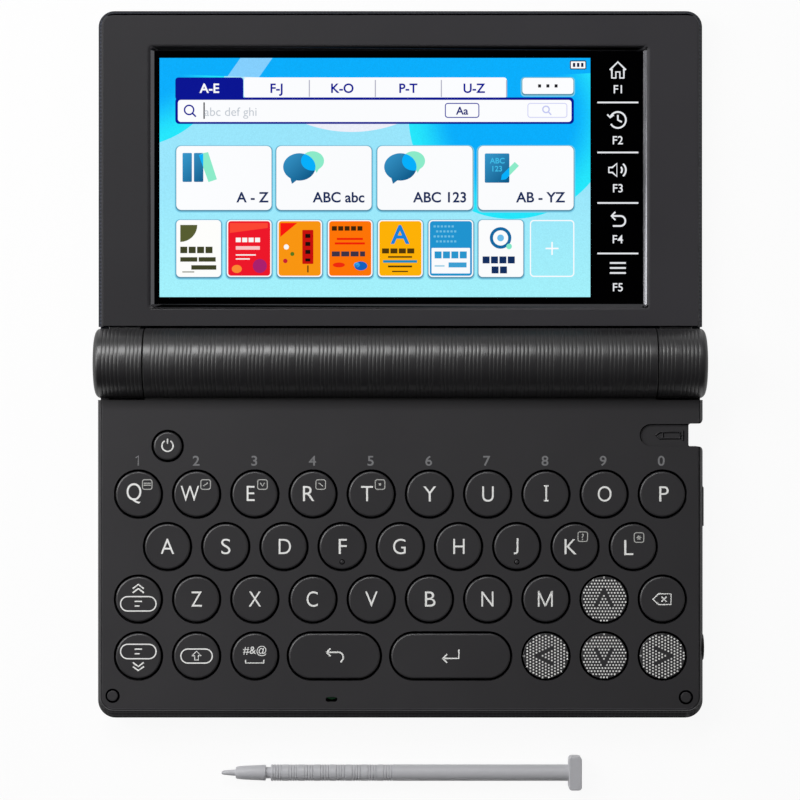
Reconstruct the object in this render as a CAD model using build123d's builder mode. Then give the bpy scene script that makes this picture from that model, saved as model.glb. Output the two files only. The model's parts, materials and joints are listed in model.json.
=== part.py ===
from build123d import *

import os
from math import cos, radians, sin

# A pocket electronic dictionary, lying open on a table, in millimetres.
# X runs along the hinge, +Y points to the lid, +Z is up and the table is Z = 0.
# The origin is on the table under the middle of the hinge barrel.

# ---- overall form ----
BODY_HALF = 73.65            # half the width of lid and base
AXIS_Z = 8.4                 # height of the hinge axis
BARREL_R = 8.5               # ribbed centre barrel
BARREL_HALF = 61.9           # half the length of the centre barrel
KNUCKLE_R = AXIS_Z           # knuckles just touch the table
KNUCKLE_NEAR = 62.2
KNUCKLE_FAR = 74.25
CORNER_R = 4.3

# ---- base ----
BASE_NEAR = -8.9             # edge that faces the knuckles
BASE_FAR = -86.3             # front edge
BASE_BOTTOM = 0.5
FLOOR_TOP = 2.0
BASE_SEAM = 8.7              # deck plate sits on the tray here
DECK_TOP = 10.2
RIM_SIDE = 0.75              # how far the rim leans in at the sides
RIM_FRONT = 2.0              # and at the front, where a thumb opens it
RIM_CORNER_R = 3.4
WAIST = (1.7, 6.5)           # heights between which the tray is widest
KEEL_INSET = 1.2             # how far the underside is drawn in
BASE_WALL = 2.25
FRONT_WALL = 3.7
DOOR_EDGE = -9.7             # battery door ends here under the base
DECK_ROUND = 0.8             # rounded upper edge of the deck
DECK_REAR = -7.5             # lip of the deck that laps the barrel
RIB_BOTTOM = BASE_SEAM - 2   # locating ribs under the deck

# ---- keys ----
KEY_PITCH = 14.11
KEY_R = 5.5
KEY_GAP = 0.4
KEY_TRAVEL = 0.8
KEY_TOP = DECK_TOP + 0.25
FLANGE_TOP = BASE_SEAM - 0.05
FLANGE_BOTTOM = FLANGE_TOP - 0.75
FLANGE_X = 12.6
FLANGE_Y = 11.9
ROW_1_Y = -31.72
ROW_2_Y = -44.45
ROW_3_Y = -57.19
ROW_4_Y = -70.95
POWER_XY = (-56.4, -20.07)
POWER_R = 3.44
POWER_FLANGE = 8.6

# ---- stylus and the silo that stores it ----
SILO_Y = -17.43
SILO_Z = 5.3
SILO_R = 2.15
SILO_OUTER_R = 2.75
SILO_END = -17.5
NOTCH_X = 69.9               # inner wall of the notch for the stylus head
NOTCH_Y = 5.58
NOTCH_INNER_R = 0.5
NOTCH_OUTER_R = 1.2
RECESS_X = 58.0              # finger recess in the deck that leads to the notch
RECESS_Y = 5.4
RECESS_DEPTH = 0.6
STYLUS_Y = -100.25
STYLUS_X = -43.9             # point of the nib
STYLUS_R = 2.0
HEAD_THICK = 4.8

# ---- sockets on the right side ----
SOCKET_PROUD = 0.3
JACK_Y = -69.3
JACK_Z = 4.15
JACK_R = 1.8
JACK_COLLAR_R = 3.1
JACK_DEPTH = 13.45
PORT_Y = (-39.7, -29.8)
PORT_Z = (2.0, 6.2)
PORT_COVER_THICK = 1.1

# ---- lid ----
LID_NEAR = 8.97
LID_FAR = 86.2
LID_OUTER = 0.3
LID_FLOOR = 1.5
LID_SEAM = 5.1
BEZEL_TOP = 6.1
LID_WALL = 2.25
LID_FLARE = 0.15             # how much wider than the base the lid is, on each side
LID_WAIST = (1.5, 3.9)       # heights between which the lid is widest
LID_CORNER_R = 3.9
LID_RIM_SIDE = 0.75
LID_RIM_FAR = 0.85
LID_RIM_CORNER_R = 3.1
BEZEL_ROUND = 0.5
WINDOW_X = (-60.1, 59.3)
WINDOW_Y = (14.5, 76.3)
WINDOW_SLOPE = 1.2
WINDOW_CORNER_R = 1.0
PANEL_X = (-63.2, 62.4)
PANEL_Y = (12.0, 79.0)
PANEL_THICK = 1.1
DISPLAY_X = (-61.0, 48.6)
DISPLAY_Y = (13.6, 77.2)

# ---- barrel ----
BARREL_BORE = 7.35
PIN_R = 2.5
PIN_BORE = 2.55
PIN_INNER = 58.7
PIN_OUTER = 72.2
END_WALL = 4.4
RIB_PERIOD = 5.8
RIB_BAND = 4.1               # sunk band that carries a group of fine ridges
RIB_DEPTH = 0.15
RIB_GROUPS = 21
KNUCKLE_BANDS = ((KNUCKLE_NEAR, 66.4), (67.5, 72.2))
KNUCKLE_CORNER = (1.35, 1.1) # along the axis and off the radius
KNUCKLE_CROWN = (0.2, 4.5)   # how far the end face bulges, and the radius of its flat middle
LIP_TOP = 1.2                # lips that close the gaps under the knuckles
LIP_REACH = 7.0              # how near they come to the hinge axis
LIP_X = (62.3, 72.3)
LIP_CORNER_X = (71.4, 73.4)   # small lips that close the outer corners of the same gaps
LIP_CORNER_Z = (1.6, 3.0)
LIP_SEAM_X = (62.0, 63.2)     # and where knuckle and barrel meet, clear of the battery door
LIP_SEAM_Z = (1.3, 3.0)
DOOR_LIP = (0.3, 0.85)       # lip of the battery door that tucks under the lid
DOOR_LIP_END = 9.5
DOOR_LIP_GAP = 0.2
LID_REBATE = 9.9             # the lid's edge is cut back this far to clear it

os.makedirs("parts", exist_ok=True)


def save(builder, name):
    """Label a finished piece and write its STEP file."""
    builder.part.label = name
    export_step(builder.part, f"parts/{name}.step")


def body_plan(z, near_y, far_y, side_inset, far_inset, corner_r):
    """Outline of lid or base: square at the hinge, rounded at the far corners."""
    side = BODY_HALF - side_inset
    end = far_y - far_inset if far_y > 0 else far_y + far_inset
    with BuildSketch(Plane.XY.offset(z)) as plan:
        with BuildLine():
            Polyline((-side, near_y), (side, near_y), (side, end), (-side, end), close=True)
        make_face()
        fillet([v for v in plan.vertices() if abs(v.Y) > abs(near_y) + 1], corner_r)
    return plan.sketch


def block(x_range, y_range, z_range, mode=Mode.ADD):
    """A box between two corners, in the current part."""
    centre = tuple((low + high) / 2 for low, high in (x_range, y_range, z_range))
    with Locations(centre):
        Box(*[high - low for low, high in (x_range, y_range, z_range)], mode=mode)


def rod_x(x_range, y, z, radius, mode=Mode.ADD):
    """A cylinder along X, in the current part."""
    with BuildSketch(Plane.YZ.offset(x_range[0])) as section:
        with Locations((y, z)):
            Circle(radius)
    extrude(section.sketch, amount=x_range[1] - x_range[0], mode=mode)


def post(x, y, z_range, radius, mode=Mode.ADD):
    """A vertical cylinder, in the current part."""
    with BuildSketch(Plane.XY.offset(z_range[0])) as section:
        with Locations((x, y)):
            Circle(radius)
    extrude(section.sketch, amount=z_range[1] - z_range[0], mode=mode)


def key_row(names, first_x, y):
    """Names and centres of a row of round keys."""
    return [(name, first_x + step * KEY_PITCH, y) for step, name in enumerate(names)]


ROUND_KEYS = (
    key_row(list("qwertyuiop"), -4.5 * KEY_PITCH, ROW_1_Y)
    + key_row(list("asdfghjkl"), -4 * KEY_PITCH, ROW_2_Y)
    + key_row(["previous", *"zxcvbnm", "up", "delete"], -4.5 * KEY_PITCH, ROW_3_Y)
    + key_row(["next", "shift", "symbol"], -4.5 * KEY_PITCH, ROW_4_Y)
    + key_row(["left", "down", "right"], 2.5 * KEY_PITCH, ROW_4_Y)
)
# name, centre X and width of the two oval keys in the front row
OVAL_KEYS = [("exit", -16.0, 22.16), ("enter", 12.2, 28.9)]

FEET = [(x, y) for x in (-64, 64) for y in (-78, -24)]
BUMPERS = [(-69.5, -81.0), (69.5, -81.0)]
BUMPER_R = 1.4
BUMPER_SEAT = DECK_TOP - 0.6
FOOT_R = 4.0
FRONT_SCREWS = [(x, -79.9) for x in (-66, 66)]
REAR_SCREWS = [(x, -12.2) for x in (-56, 0, 56)]
SCREW_R = 0.9
SCREW_HEAD_R = 1.75
SCREW_HEAD = 1.0             # depth of the counterbore under the base
SCREW_END = 7.4
POST_R = 2.2
BOSS_BOTTOM = 4.0            # front screw bosses of the deck end here
WEB_BOTTOM = 6.4             # web that ties the barrel to the deck
WEB_EDGE = -14.0
BOARD_BOTTOM = 5.3
BOARD_TOP = 6.3
BOARD_PROPS = [(-40, -38), (40, -38), (-40, -64), (40, -64), (0, -50)]
PROP_SIZE = 3.0
SIDE_RIB_Y = (-60, -45)
SIDE_RIB_X = (70.1, 71.2)
FRONT_RIB_X = (-58, 58)
FRONT_RIB_Y = (-82.4, -81.4)
MIC_SLOT_LENGTH = 2.85
MIC_SLOT_WIDTH = 1.2
MIC_XY = (-16.7, -81.5)
SPEAKER_XY = (-35.0, -18.2)
SPEAKER_SIZE = (26, 9)
USB_Y = (PORT_Y[0] + PORT_Y[1]) / 2


def key_holes(clearance):
    """Key outlines grown by a clearance, in the current sketch."""
    with Locations([(x, y) for _, x, y in ROUND_KEYS]):
        Circle(KEY_R + clearance)
    for _, x, width in OVAL_KEYS:
        with Locations((x, ROW_4_Y)):
            SlotOverall(width + 2 * clearance, 2 * (KEY_R + clearance))
    with Locations(POWER_XY):
        Circle(POWER_R + clearance)


def stylus_notch(z_range, side):
    """Cut the open notch for the stylus head, with its mouth rounded into the side wall."""
    with BuildSketch(Plane.XY.offset(z_range[0])) as notch:
        with Locations(((NOTCH_X + side + 1) / 2, SILO_Y)):
            Rectangle(side + 1 - NOTCH_X, NOTCH_Y)
        fillet(notch.vertices().group_by(Axis.X)[0], NOTCH_INNER_R)
        mouth = side - NOTCH_OUTER_R
        with Locations(((mouth + side + 1) / 2, SILO_Y)):
            Rectangle(NOTCH_OUTER_R + 1, NOTCH_Y + 2 * NOTCH_OUTER_R)
        with Locations([(mouth, SILO_Y + turn * (NOTCH_Y / 2 + NOTCH_OUTER_R)) for turn in (-1, 1)]):
            Circle(NOTCH_OUTER_R, mode=Mode.SUBTRACT)
    extrude(notch.sketch, amount=z_range[1] - z_range[0], mode=Mode.SUBTRACT)


# ---- deck plate with the key openings ----
with BuildPart() as base_top_case:
    add(body_plan(BASE_SEAM, BASE_NEAR, BASE_FAR, RIM_SIDE, RIM_FRONT, RIM_CORNER_R))
    extrude(amount=DECK_TOP - BASE_SEAM)
    rim_edges = base_top_case.edges().group_by(Axis.Z)[-1]
    fillet([e for e in rim_edges if e.center().Y < BASE_NEAR - 1], DECK_ROUND)
    block((-BARREL_HALF, BARREL_HALF), (BASE_NEAR, DECK_REAR), (BASE_SEAM, DECK_TOP))
    rod_x((-BARREL_HALF, BARREL_HALF), 0, AXIS_Z, BARREL_R, mode=Mode.SUBTRACT)
    for x, y in FRONT_SCREWS:
        post(x, y, (BOSS_BOTTOM, BASE_SEAM), POST_R)
        post(x, y, (BOSS_BOTTOM, BASE_SEAM - 1), SCREW_R, mode=Mode.SUBTRACT)
    for side in (-1, 1):
        block(sorted((side * SIDE_RIB_X[0], side * SIDE_RIB_X[1])), SIDE_RIB_Y, (RIB_BOTTOM, BASE_SEAM))
    block(FRONT_RIB_X, FRONT_RIB_Y, (RIB_BOTTOM, BASE_SEAM))
    with BuildSketch(Plane.XY.offset(BASE_SEAM)):
        key_holes(KEY_GAP)
    extrude(amount=DECK_TOP - BASE_SEAM, mode=Mode.SUBTRACT)
    with BuildSketch(Plane.XY.offset(RIB_BOTTOM)):
        with Locations(MIC_XY):
            SlotOverall(MIC_SLOT_LENGTH, MIC_SLOT_WIDTH)
    extrude(amount=DECK_TOP - RIB_BOTTOM, mode=Mode.SUBTRACT)
    with BuildSketch(Plane.XY.offset(DECK_TOP - RECESS_DEPTH)):
        with Locations((BODY_HALF, SILO_Y)):
            SlotOverall(2 * (BODY_HALF - RECESS_X), RECESS_Y)
    extrude(amount=1, mode=Mode.SUBTRACT)
    stylus_notch((BASE_SEAM, DECK_TOP + 1), BODY_HALF - RIM_SIDE)
    for x, y in BUMPERS:
        post(x, y, (BUMPER_SEAT, DECK_TOP), BUMPER_R, mode=Mode.SUBTRACT)
save(base_top_case, "base_top_case")

# ---- tray with the leaning rim ----
REAR_WALL = 1.2
CAVITY_CORNER_R = 2.2
BARREL_GAP = 0.05
WEB_SEAT = DOOR_EDGE - 1.4   # the tray gives way to the web from here back
SADDLES = (-8, 24, 52)
SADDLE_HALF = 2.4
RIB_THICK = 1.5
WALL_CUT = 4.0               # deep enough to open the right wall
USB_HALF = 4.0
USB_Z = (2.7, 5.3)
SOUND_PITCH = 3.0
SOUND_SLOT_X = 1.2
SOUND_SLOT_Y = 6.0
with BuildPart() as base_bottom_case:
    low = body_plan(BASE_BOTTOM, BASE_NEAR, BASE_FAR, KEEL_INSET, KEEL_INSET, CORNER_R - KEEL_INSET)
    wide = body_plan(WAIST[0], BASE_NEAR, BASE_FAR, 0, 0, CORNER_R)
    wide_top = body_plan(WAIST[1], BASE_NEAR, BASE_FAR, 0, 0, CORNER_R)
    rim = body_plan(BASE_SEAM, BASE_NEAR, BASE_FAR, RIM_SIDE, RIM_FRONT, RIM_CORNER_R)
    loft(sections=[low, wide], ruled=True)
    loft(sections=[wide, wide_top], ruled=True)
    loft(sections=[wide_top, rim], ruled=True)
    add(body_plan(FLOOR_TOP, BASE_NEAR - REAR_WALL, BASE_FAR, BASE_WALL, FRONT_WALL, CAVITY_CORNER_R))
    extrude(amount=BASE_SEAM - FLOOR_TOP, mode=Mode.SUBTRACT)
    # the rear wall steps back and down where the barrel and its web pass
    barrel_span = (-BARREL_HALF - BARREL_GAP, BARREL_HALF + BARREL_GAP)
    block(barrel_span, (DOOR_EDGE, 0), (0, BASE_SEAM), mode=Mode.SUBTRACT)
    block(barrel_span, (DOOR_EDGE - REAR_WALL, DOOR_EDGE), (FLOOR_TOP, WEB_BOTTOM))
    block(barrel_span, (WEB_SEAT, 0), (WEB_BOTTOM, BASE_SEAM), mode=Mode.SUBTRACT)
    for side in (-1, 1):
        block(sorted((side * LIP_X[0], side * LIP_X[1])), (BASE_NEAR, -LIP_REACH), (BASE_BOTTOM, LIP_TOP))
        block(sorted((side * LIP_CORNER_X[0], side * LIP_CORNER_X[1])), (BASE_NEAR, -LIP_REACH), LIP_CORNER_Z)
    for x, y in FRONT_SCREWS:
        post(x, y, (FLOOR_TOP, BOSS_BOTTOM), POST_R)
    for x, y in REAR_SCREWS:
        post(x, y, (FLOOR_TOP, WEB_BOTTOM), POST_R)
    for x, y in FRONT_SCREWS + REAR_SCREWS:
        post(x, y, (BASE_BOTTOM, WEB_BOTTOM), SCREW_R, mode=Mode.SUBTRACT)
        post(x, y, (BASE_BOTTOM, BASE_BOTTOM + SCREW_HEAD), SCREW_HEAD_R, mode=Mode.SUBTRACT)
    for x, y in BOARD_PROPS:
        block((x - PROP_SIZE / 2, x + PROP_SIZE / 2), (y - PROP_SIZE / 2, y + PROP_SIZE / 2),
              (FLOOR_TOP, BOARD_BOTTOM))
    # saddles for the silo, and the framed notch for the stylus head
    for x in SADDLES:
        block((x, x + RIB_THICK), (SILO_Y - SADDLE_HALF, SILO_Y + SADDLE_HALF), (FLOOR_TOP, SILO_Z))
    block((NOTCH_X - RIB_THICK, BODY_HALF - BASE_WALL),
          (SILO_Y - NOTCH_Y / 2 - RIB_THICK, SILO_Y + NOTCH_Y / 2 + RIB_THICK), (FLOOR_TOP, BASE_SEAM))
    rod_x((SILO_END, NOTCH_X), SILO_Y, SILO_Z, SILO_OUTER_R, mode=Mode.SUBTRACT)
    stylus_notch((0, BASE_SEAM + 1), BODY_HALF)
    # earphone and charging openings in the right wall
    rod_x((BODY_HALF - WALL_CUT, BODY_HALF + 1), JACK_Y, JACK_Z, JACK_COLLAR_R, mode=Mode.SUBTRACT)
    block((BODY_HALF - PORT_COVER_THICK + SOCKET_PROUD, BODY_HALF + 1), PORT_Y, PORT_Z, mode=Mode.SUBTRACT)
    block((BODY_HALF - WALL_CUT, BODY_HALF), (USB_Y - USB_HALF, USB_Y + USB_HALF), USB_Z, mode=Mode.SUBTRACT)
    # sound slots under the speaker
    slots = [(SPEAKER_XY[0] + SOUND_PITCH * step, SPEAKER_XY[1], BASE_BOTTOM) for step in range(-3, 4)]
    with Locations(slots):
        Box(SOUND_SLOT_X, SOUND_SLOT_Y, 2 * FLOOR_TOP, mode=Mode.SUBTRACT)
save(base_bottom_case, "base_bottom_case")


def barrel_sector(start_deg, end_deg, inner, outer):
    """Ring sector about the hinge axis, angles from +Y towards +Z, in a YZ sketch."""
    def at(radius, angle):
        return (radius * cos(radians(angle)), AXIS_Z + radius * sin(radians(angle)))

    middle = (start_deg + end_deg) / 2
    with BuildLine() as outline:
        ThreePointArc(at(outer, start_deg), at(outer, middle), at(outer, end_deg))
        Line(at(outer, end_deg), at(inner, end_deg))
        ThreePointArc(at(inner, end_deg), at(inner, middle), at(inner, start_deg))
        Line(at(inner, start_deg), at(outer, start_deg))
    make_face(outline.edges())


# ---- ribbed upper half of the barrel, with the end walls that hold the hinge pins ----
COVER_SECTOR = (-6, 200)     # degrees about the hinge axis
RIB_SECTOR = (-6, 167)
DOOR_SECTOR = (201, 353)
RIB_CENTRES = [RIB_PERIOD * (step - (RIB_GROUPS - 1) / 2) for step in range(RIB_GROUPS)]
WEB_FRONT = -7.6
with BuildPart() as barrel_cover:
    with BuildSketch(Plane.YZ.offset(-BARREL_HALF)):
        barrel_sector(*COVER_SECTOR, BARREL_BORE, BARREL_R)
    extrude(amount=2 * BARREL_HALF)
    for centre in RIB_CENTRES:
        with BuildSketch(Plane.YZ.offset(centre - RIB_BAND / 2)):
            barrel_sector(*RIB_SECTOR, BARREL_R - RIB_DEPTH, BARREL_R + 1)
        extrude(amount=RIB_BAND, mode=Mode.SUBTRACT)
    for side in (-1, 1):
        span = sorted((side * (BARREL_HALF - END_WALL), side * BARREL_HALF))
        rod_x(span, 0, AXIS_Z, BARREL_BORE)
        hole = sorted((side * PIN_INNER, side * BARREL_HALF))
        rod_x(hole, 0, AXIS_Z, PIN_R, mode=Mode.SUBTRACT)
    # web under the rear edge of the deck, screwed to the tray
    with BuildSketch(Plane.YZ.offset(-BARREL_HALF)):
        with BuildLine():
            Polyline((WEB_EDGE, WEB_BOTTOM), (WEB_FRONT, WEB_BOTTOM), (WEB_FRONT, BASE_SEAM),
                     (WEB_EDGE, BASE_SEAM), close=True)
        make_face()
        with Locations((0, AXIS_Z)):
            Circle(BARREL_R - 0.5, mode=Mode.SUBTRACT)
    extrude(amount=2 * BARREL_HALF)
    for x, y in REAR_SCREWS:
        post(x, y, (WEB_BOTTOM, BASE_SEAM - 0.9), SCREW_R, mode=Mode.SUBTRACT)
save(barrel_cover, "barrel_cover")

# ---- battery door: lower half of the barrel with an apron flush with the underside ----
APRON_Y = (DOOR_EDGE + 0.1, -4.0)
APRON_TOP = 5.0
with BuildPart() as battery_cover:
    with BuildSketch(Plane.YZ.offset(-BARREL_HALF)):
        barrel_sector(*DOOR_SECTOR, BARREL_BORE, BARREL_R)
    extrude(amount=2 * BARREL_HALF)
    with BuildSketch(Plane.YZ.offset(-BARREL_HALF)):
        with BuildLine():
            Polyline((APRON_Y[0], BASE_BOTTOM), (APRON_Y[1], BASE_BOTTOM), (APRON_Y[1], APRON_TOP),
                     (APRON_Y[0], APRON_TOP), close=True)
        make_face()
        with Locations((0, AXIS_Z)):
            Circle(BARREL_BORE + 0.5, mode=Mode.SUBTRACT)
    extrude(amount=2 * BARREL_HALF)
    block((-BARREL_HALF, BARREL_HALF), (BARREL_BORE / 2, DOOR_LIP_END), DOOR_LIP)
    block((-BARREL_HALF, BARREL_HALF), (-BARREL_R, BARREL_R), (-1, 0), mode=Mode.SUBTRACT)
save(battery_cover, "battery_cover")

# ---- two AA cells end to end ----
CELL_LENGTH = 50.5
CELL_R = 7.25
NUB_LENGTH = 1.3
NUB_R = 2.75
with BuildPart() as battery_cells:
    for start in (-CELL_LENGTH, 0):
        rod_x((start, start + CELL_LENGTH - NUB_LENGTH), 0, AXIS_Z, CELL_R)
        rod_x((start + CELL_LENGTH - NUB_LENGTH, start + CELL_LENGTH), 0, AXIS_Z, NUB_R)
save(battery_cells, "battery_cells")

# ---- bent spring contact at each end of the cells ----
CONTACT_THICK = 0.4
CONTACT_WIDTH = 5.0
CONTACT_HALF = 4.5           # half the height of the leaf on the end wall
CONTACT_TOUCH = (-1.5, 2.0)  # stretch that bears on the cell, about the axis
with BuildPart() as battery_contacts:
    for side in (-1, 1):
        wall = side * (BARREL_HALF - END_WALL - CONTACT_THICK / 2)
        touch = side * (CELL_LENGTH + CONTACT_THICK / 2)
        with BuildSketch(Plane.XZ.offset(-CONTACT_WIDTH / 2)):
            with BuildLine():
                Polyline((wall, AXIS_Z + CONTACT_HALF), (wall, AXIS_Z - CONTACT_HALF),
                         (touch, AXIS_Z + CONTACT_TOUCH[0]), (touch, AXIS_Z + CONTACT_TOUCH[1]))
            trace(line_width=CONTACT_THICK)
        extrude(amount=CONTACT_WIDTH)
save(battery_contacts, "battery_contacts")

# ---- hinge pins, pressed into the end walls of the barrel ----
with BuildPart() as hinge_pins:
    for side in (-1, 1):
        rod_x(sorted((side * PIN_INNER, side * PIN_OUTER)), 0, AXIS_Z, PIN_R)
save(hinge_pins, "hinge_pins")

# ---- circuit board with its chips, charging socket and microphone ----
BOARD_OUTLINE = [(-69.5, -77.2), (69.5, -77.2), (69.5, -23.5), (-49, -23.5), (-49, -15), (-64, -15),
                 (-64, -23.5), (-69.5, -23.5)]
JACK_BODY_X = (59.6, BODY_HALF - BASE_WALL)
JACK_BODY_HALF = 3.2
JACK_CLEARANCE = 0.3
CHIPS = [((-18, -2), (-46, -34)), ((6, 18), (-40, -30)), ((-30, -22), (-60, -52)), ((20, 30), (-66, -54))]
CHIP_HEIGHT = 1.2
USB_SHELL_X = (64.5, BODY_HALF - BASE_WALL - 0.2)
USB_SHELL_HALF = 3.7
USB_SHELL_BOTTOM = 2.8
USB_MOUTH_X = (67.5, USB_SHELL_X[1])
USB_MOUTH_HALF = 3.3
USB_MOUTH_Z = (3.2, 4.8)
MIC_OFFSET = 1.8             # the microphone stands behind its slot
MIC_R = 1.9
MIC_BOTTOM = 7.2
with BuildPart() as circuit_board:
    with BuildSketch(Plane.XY.offset(BOARD_BOTTOM)):
        with BuildLine():
            Polyline(*BOARD_OUTLINE, close=True)
        make_face()
    extrude(amount=BOARD_TOP - BOARD_BOTTOM)
    jack_room = JACK_BODY_HALF + JACK_CLEARANCE
    block((JACK_BODY_X[0] - JACK_CLEARANCE, JACK_BODY_X[1]), (JACK_Y - jack_room, JACK_Y + jack_room),
          (BOARD_BOTTOM, BOARD_TOP), mode=Mode.SUBTRACT)
    for chip_x, chip_y in CHIPS:
        block(chip_x, chip_y, (BOARD_BOTTOM - CHIP_HEIGHT, BOARD_BOTTOM))
    block(USB_SHELL_X, (USB_Y - USB_SHELL_HALF, USB_Y + USB_SHELL_HALF), (USB_SHELL_BOTTOM, BOARD_BOTTOM))
    block(USB_MOUTH_X, (USB_Y - USB_MOUTH_HALF, USB_Y + USB_MOUTH_HALF), USB_MOUTH_Z, mode=Mode.SUBTRACT)
    post(MIC_XY[0], MIC_XY[1] + MIC_OFFSET, (MIC_BOTTOM, BASE_SEAM), MIC_R)
save(circuit_board, "circuit_board")

# ---- rubber sheet of key domes, pressed state, so that every key clears it ----
SHEET_TOP = BOARD_TOP + 0.5
SHEET_INSET = 0.5
DOME_TOP = FLANGE_BOTTOM - KEY_TRAVEL - 0.1
DOME_SIZE = 4.0
OVAL_DOME_X = 12.0
with BuildPart() as key_dome_sheet:
    with BuildSketch(Plane.XY.offset(BOARD_TOP)):
        with BuildLine():
            Polyline(*BOARD_OUTLINE, close=True)
        make_face()
        offset(amount=-SHEET_INSET, kind=Kind.INTERSECTION)
    extrude(amount=SHEET_TOP - BOARD_TOP)
    with BuildSketch(Plane.XY.offset(SHEET_TOP)):
        with Locations([(x, y) for _, x, y in ROUND_KEYS] + [POWER_XY]):
            Rectangle(DOME_SIZE, DOME_SIZE)
        with Locations([(x, ROW_4_Y) for _, x, _ in OVAL_KEYS]):
            Rectangle(OVAL_DOME_X, DOME_SIZE)
    extrude(amount=DOME_TOP - SHEET_TOP)
save(key_dome_sheet, "key_dome_sheet")

# ---- case screws ----
HEAD_SUNK = 0.1
with BuildPart() as case_screws:
    for x, y in FRONT_SCREWS + REAR_SCREWS:
        post(x, y, (BASE_BOTTOM + HEAD_SUNK, BASE_BOTTOM + SCREW_HEAD), SCREW_HEAD_R)
        post(x, y, (BASE_BOTTOM + SCREW_HEAD, SCREW_END), SCREW_R)
save(case_screws, "case_screws")

# ---- rubber feet under the base and bumpers on the deck ----
BUMPER_PROUD = 0.4
with BuildPart() as rubber_pads:
    for x, y in FEET:
        post(x, y, (0, BASE_BOTTOM), FOOT_R)
    for x, y in BUMPERS:
        post(x, y, (BUMPER_SEAT, DECK_TOP + BUMPER_PROUD), BUMPER_R)
save(rubber_pads, "rubber_pads")

# ---- tube that stores the stylus ----
with BuildPart() as stylus_silo:
    rod_x((SILO_END, NOTCH_X), SILO_Y, SILO_Z, SILO_OUTER_R)
    rod_x((SILO_END + 1, NOTCH_X), SILO_Y, SILO_Z, SILO_R, mode=Mode.SUBTRACT)
save(stylus_silo, "stylus_silo")

# ---- speaker: oval frame on the floor over the sound slots ----
SPEAKER_FRAME = 1.2
SPEAKER_MAGNET = (20, 7, 2.6)
with BuildPart() as speaker:
    with BuildSketch(Plane.XY.offset(FLOOR_TOP)):
        with Locations(SPEAKER_XY):
            SlotOverall(*SPEAKER_SIZE)
    extrude(amount=SPEAKER_FRAME)
    with BuildSketch(Plane.XY.offset(FLOOR_TOP + SPEAKER_FRAME)):
        with Locations(SPEAKER_XY):
            SlotOverall(*SPEAKER_MAGNET[:2])
    extrude(amount=SPEAKER_MAGNET[2])
save(speaker, "speaker")

# ---- earphone jack: collar through the wall and a low body beside the board ----
with BuildPart() as earphone_jack:
    rod_x((JACK_BODY_X[1], BODY_HALF + SOCKET_PROUD), JACK_Y, JACK_Z, JACK_COLLAR_R)
    block(JACK_BODY_X, (JACK_Y - JACK_BODY_HALF, JACK_Y + JACK_BODY_HALF), (FLOOR_TOP, BOARD_TOP))
    bore_end = BODY_HALF + SOCKET_PROUD - JACK_DEPTH
    rod_x((bore_end, BODY_HALF + SOCKET_PROUD), JACK_Y, JACK_Z, JACK_R, mode=Mode.SUBTRACT)
save(earphone_jack, "earphone_jack")

# ---- flap over the charging socket, hinged at its front end ----
COVER_GAP = 0.1
COVER_ROUND = 0.5
with BuildPart() as usb_port_cover:
    block((BODY_HALF + SOCKET_PROUD - PORT_COVER_THICK, BODY_HALF + SOCKET_PROUD),
          (PORT_Y[0] + COVER_GAP, PORT_Y[1] - COVER_GAP),
          (PORT_Z[0] + COVER_GAP, PORT_Z[1] - COVER_GAP))
    fillet(usb_port_cover.edges().filter_by(Axis.Z).sort_by(Axis.X)[-2:].sort_by(Axis.Y)[-1], COVER_ROUND)
save(usb_port_cover, "usb_port_cover")

# ---- bezel of the lid, sloping down to the screen ----
with BuildPart() as lid_bezel:
    add(body_plan(LID_SEAM, LID_NEAR, LID_FAR, LID_RIM_SIDE, LID_RIM_FAR, LID_RIM_CORNER_R))
    extrude(amount=BEZEL_TOP - LID_SEAM)
    bezel_rim = lid_bezel.edges().group_by(Axis.Z)[-1]
    fillet([e for e in bezel_rim if e.center().Y > LID_NEAR + 1], BEZEL_ROUND)
    window_size = (WINDOW_X[1] - WINDOW_X[0], WINDOW_Y[1] - WINDOW_Y[0])
    window_centre = ((WINDOW_X[0] + WINDOW_X[1]) / 2, (WINDOW_Y[0] + WINDOW_Y[1]) / 2)
    with BuildSketch(Plane.XY.offset(LID_SEAM)):
        with Locations(window_centre):
            Rectangle(*window_size)
    with BuildSketch(Plane.XY.offset(BEZEL_TOP)):
        with Locations(window_centre):
            RectangleRounded(window_size[0] + 2 * WINDOW_SLOPE, window_size[1] + 2 * WINDOW_SLOPE,
                             WINDOW_CORNER_R)
    loft(mode=Mode.SUBTRACT)
save(lid_bezel, "lid_bezel")

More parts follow.
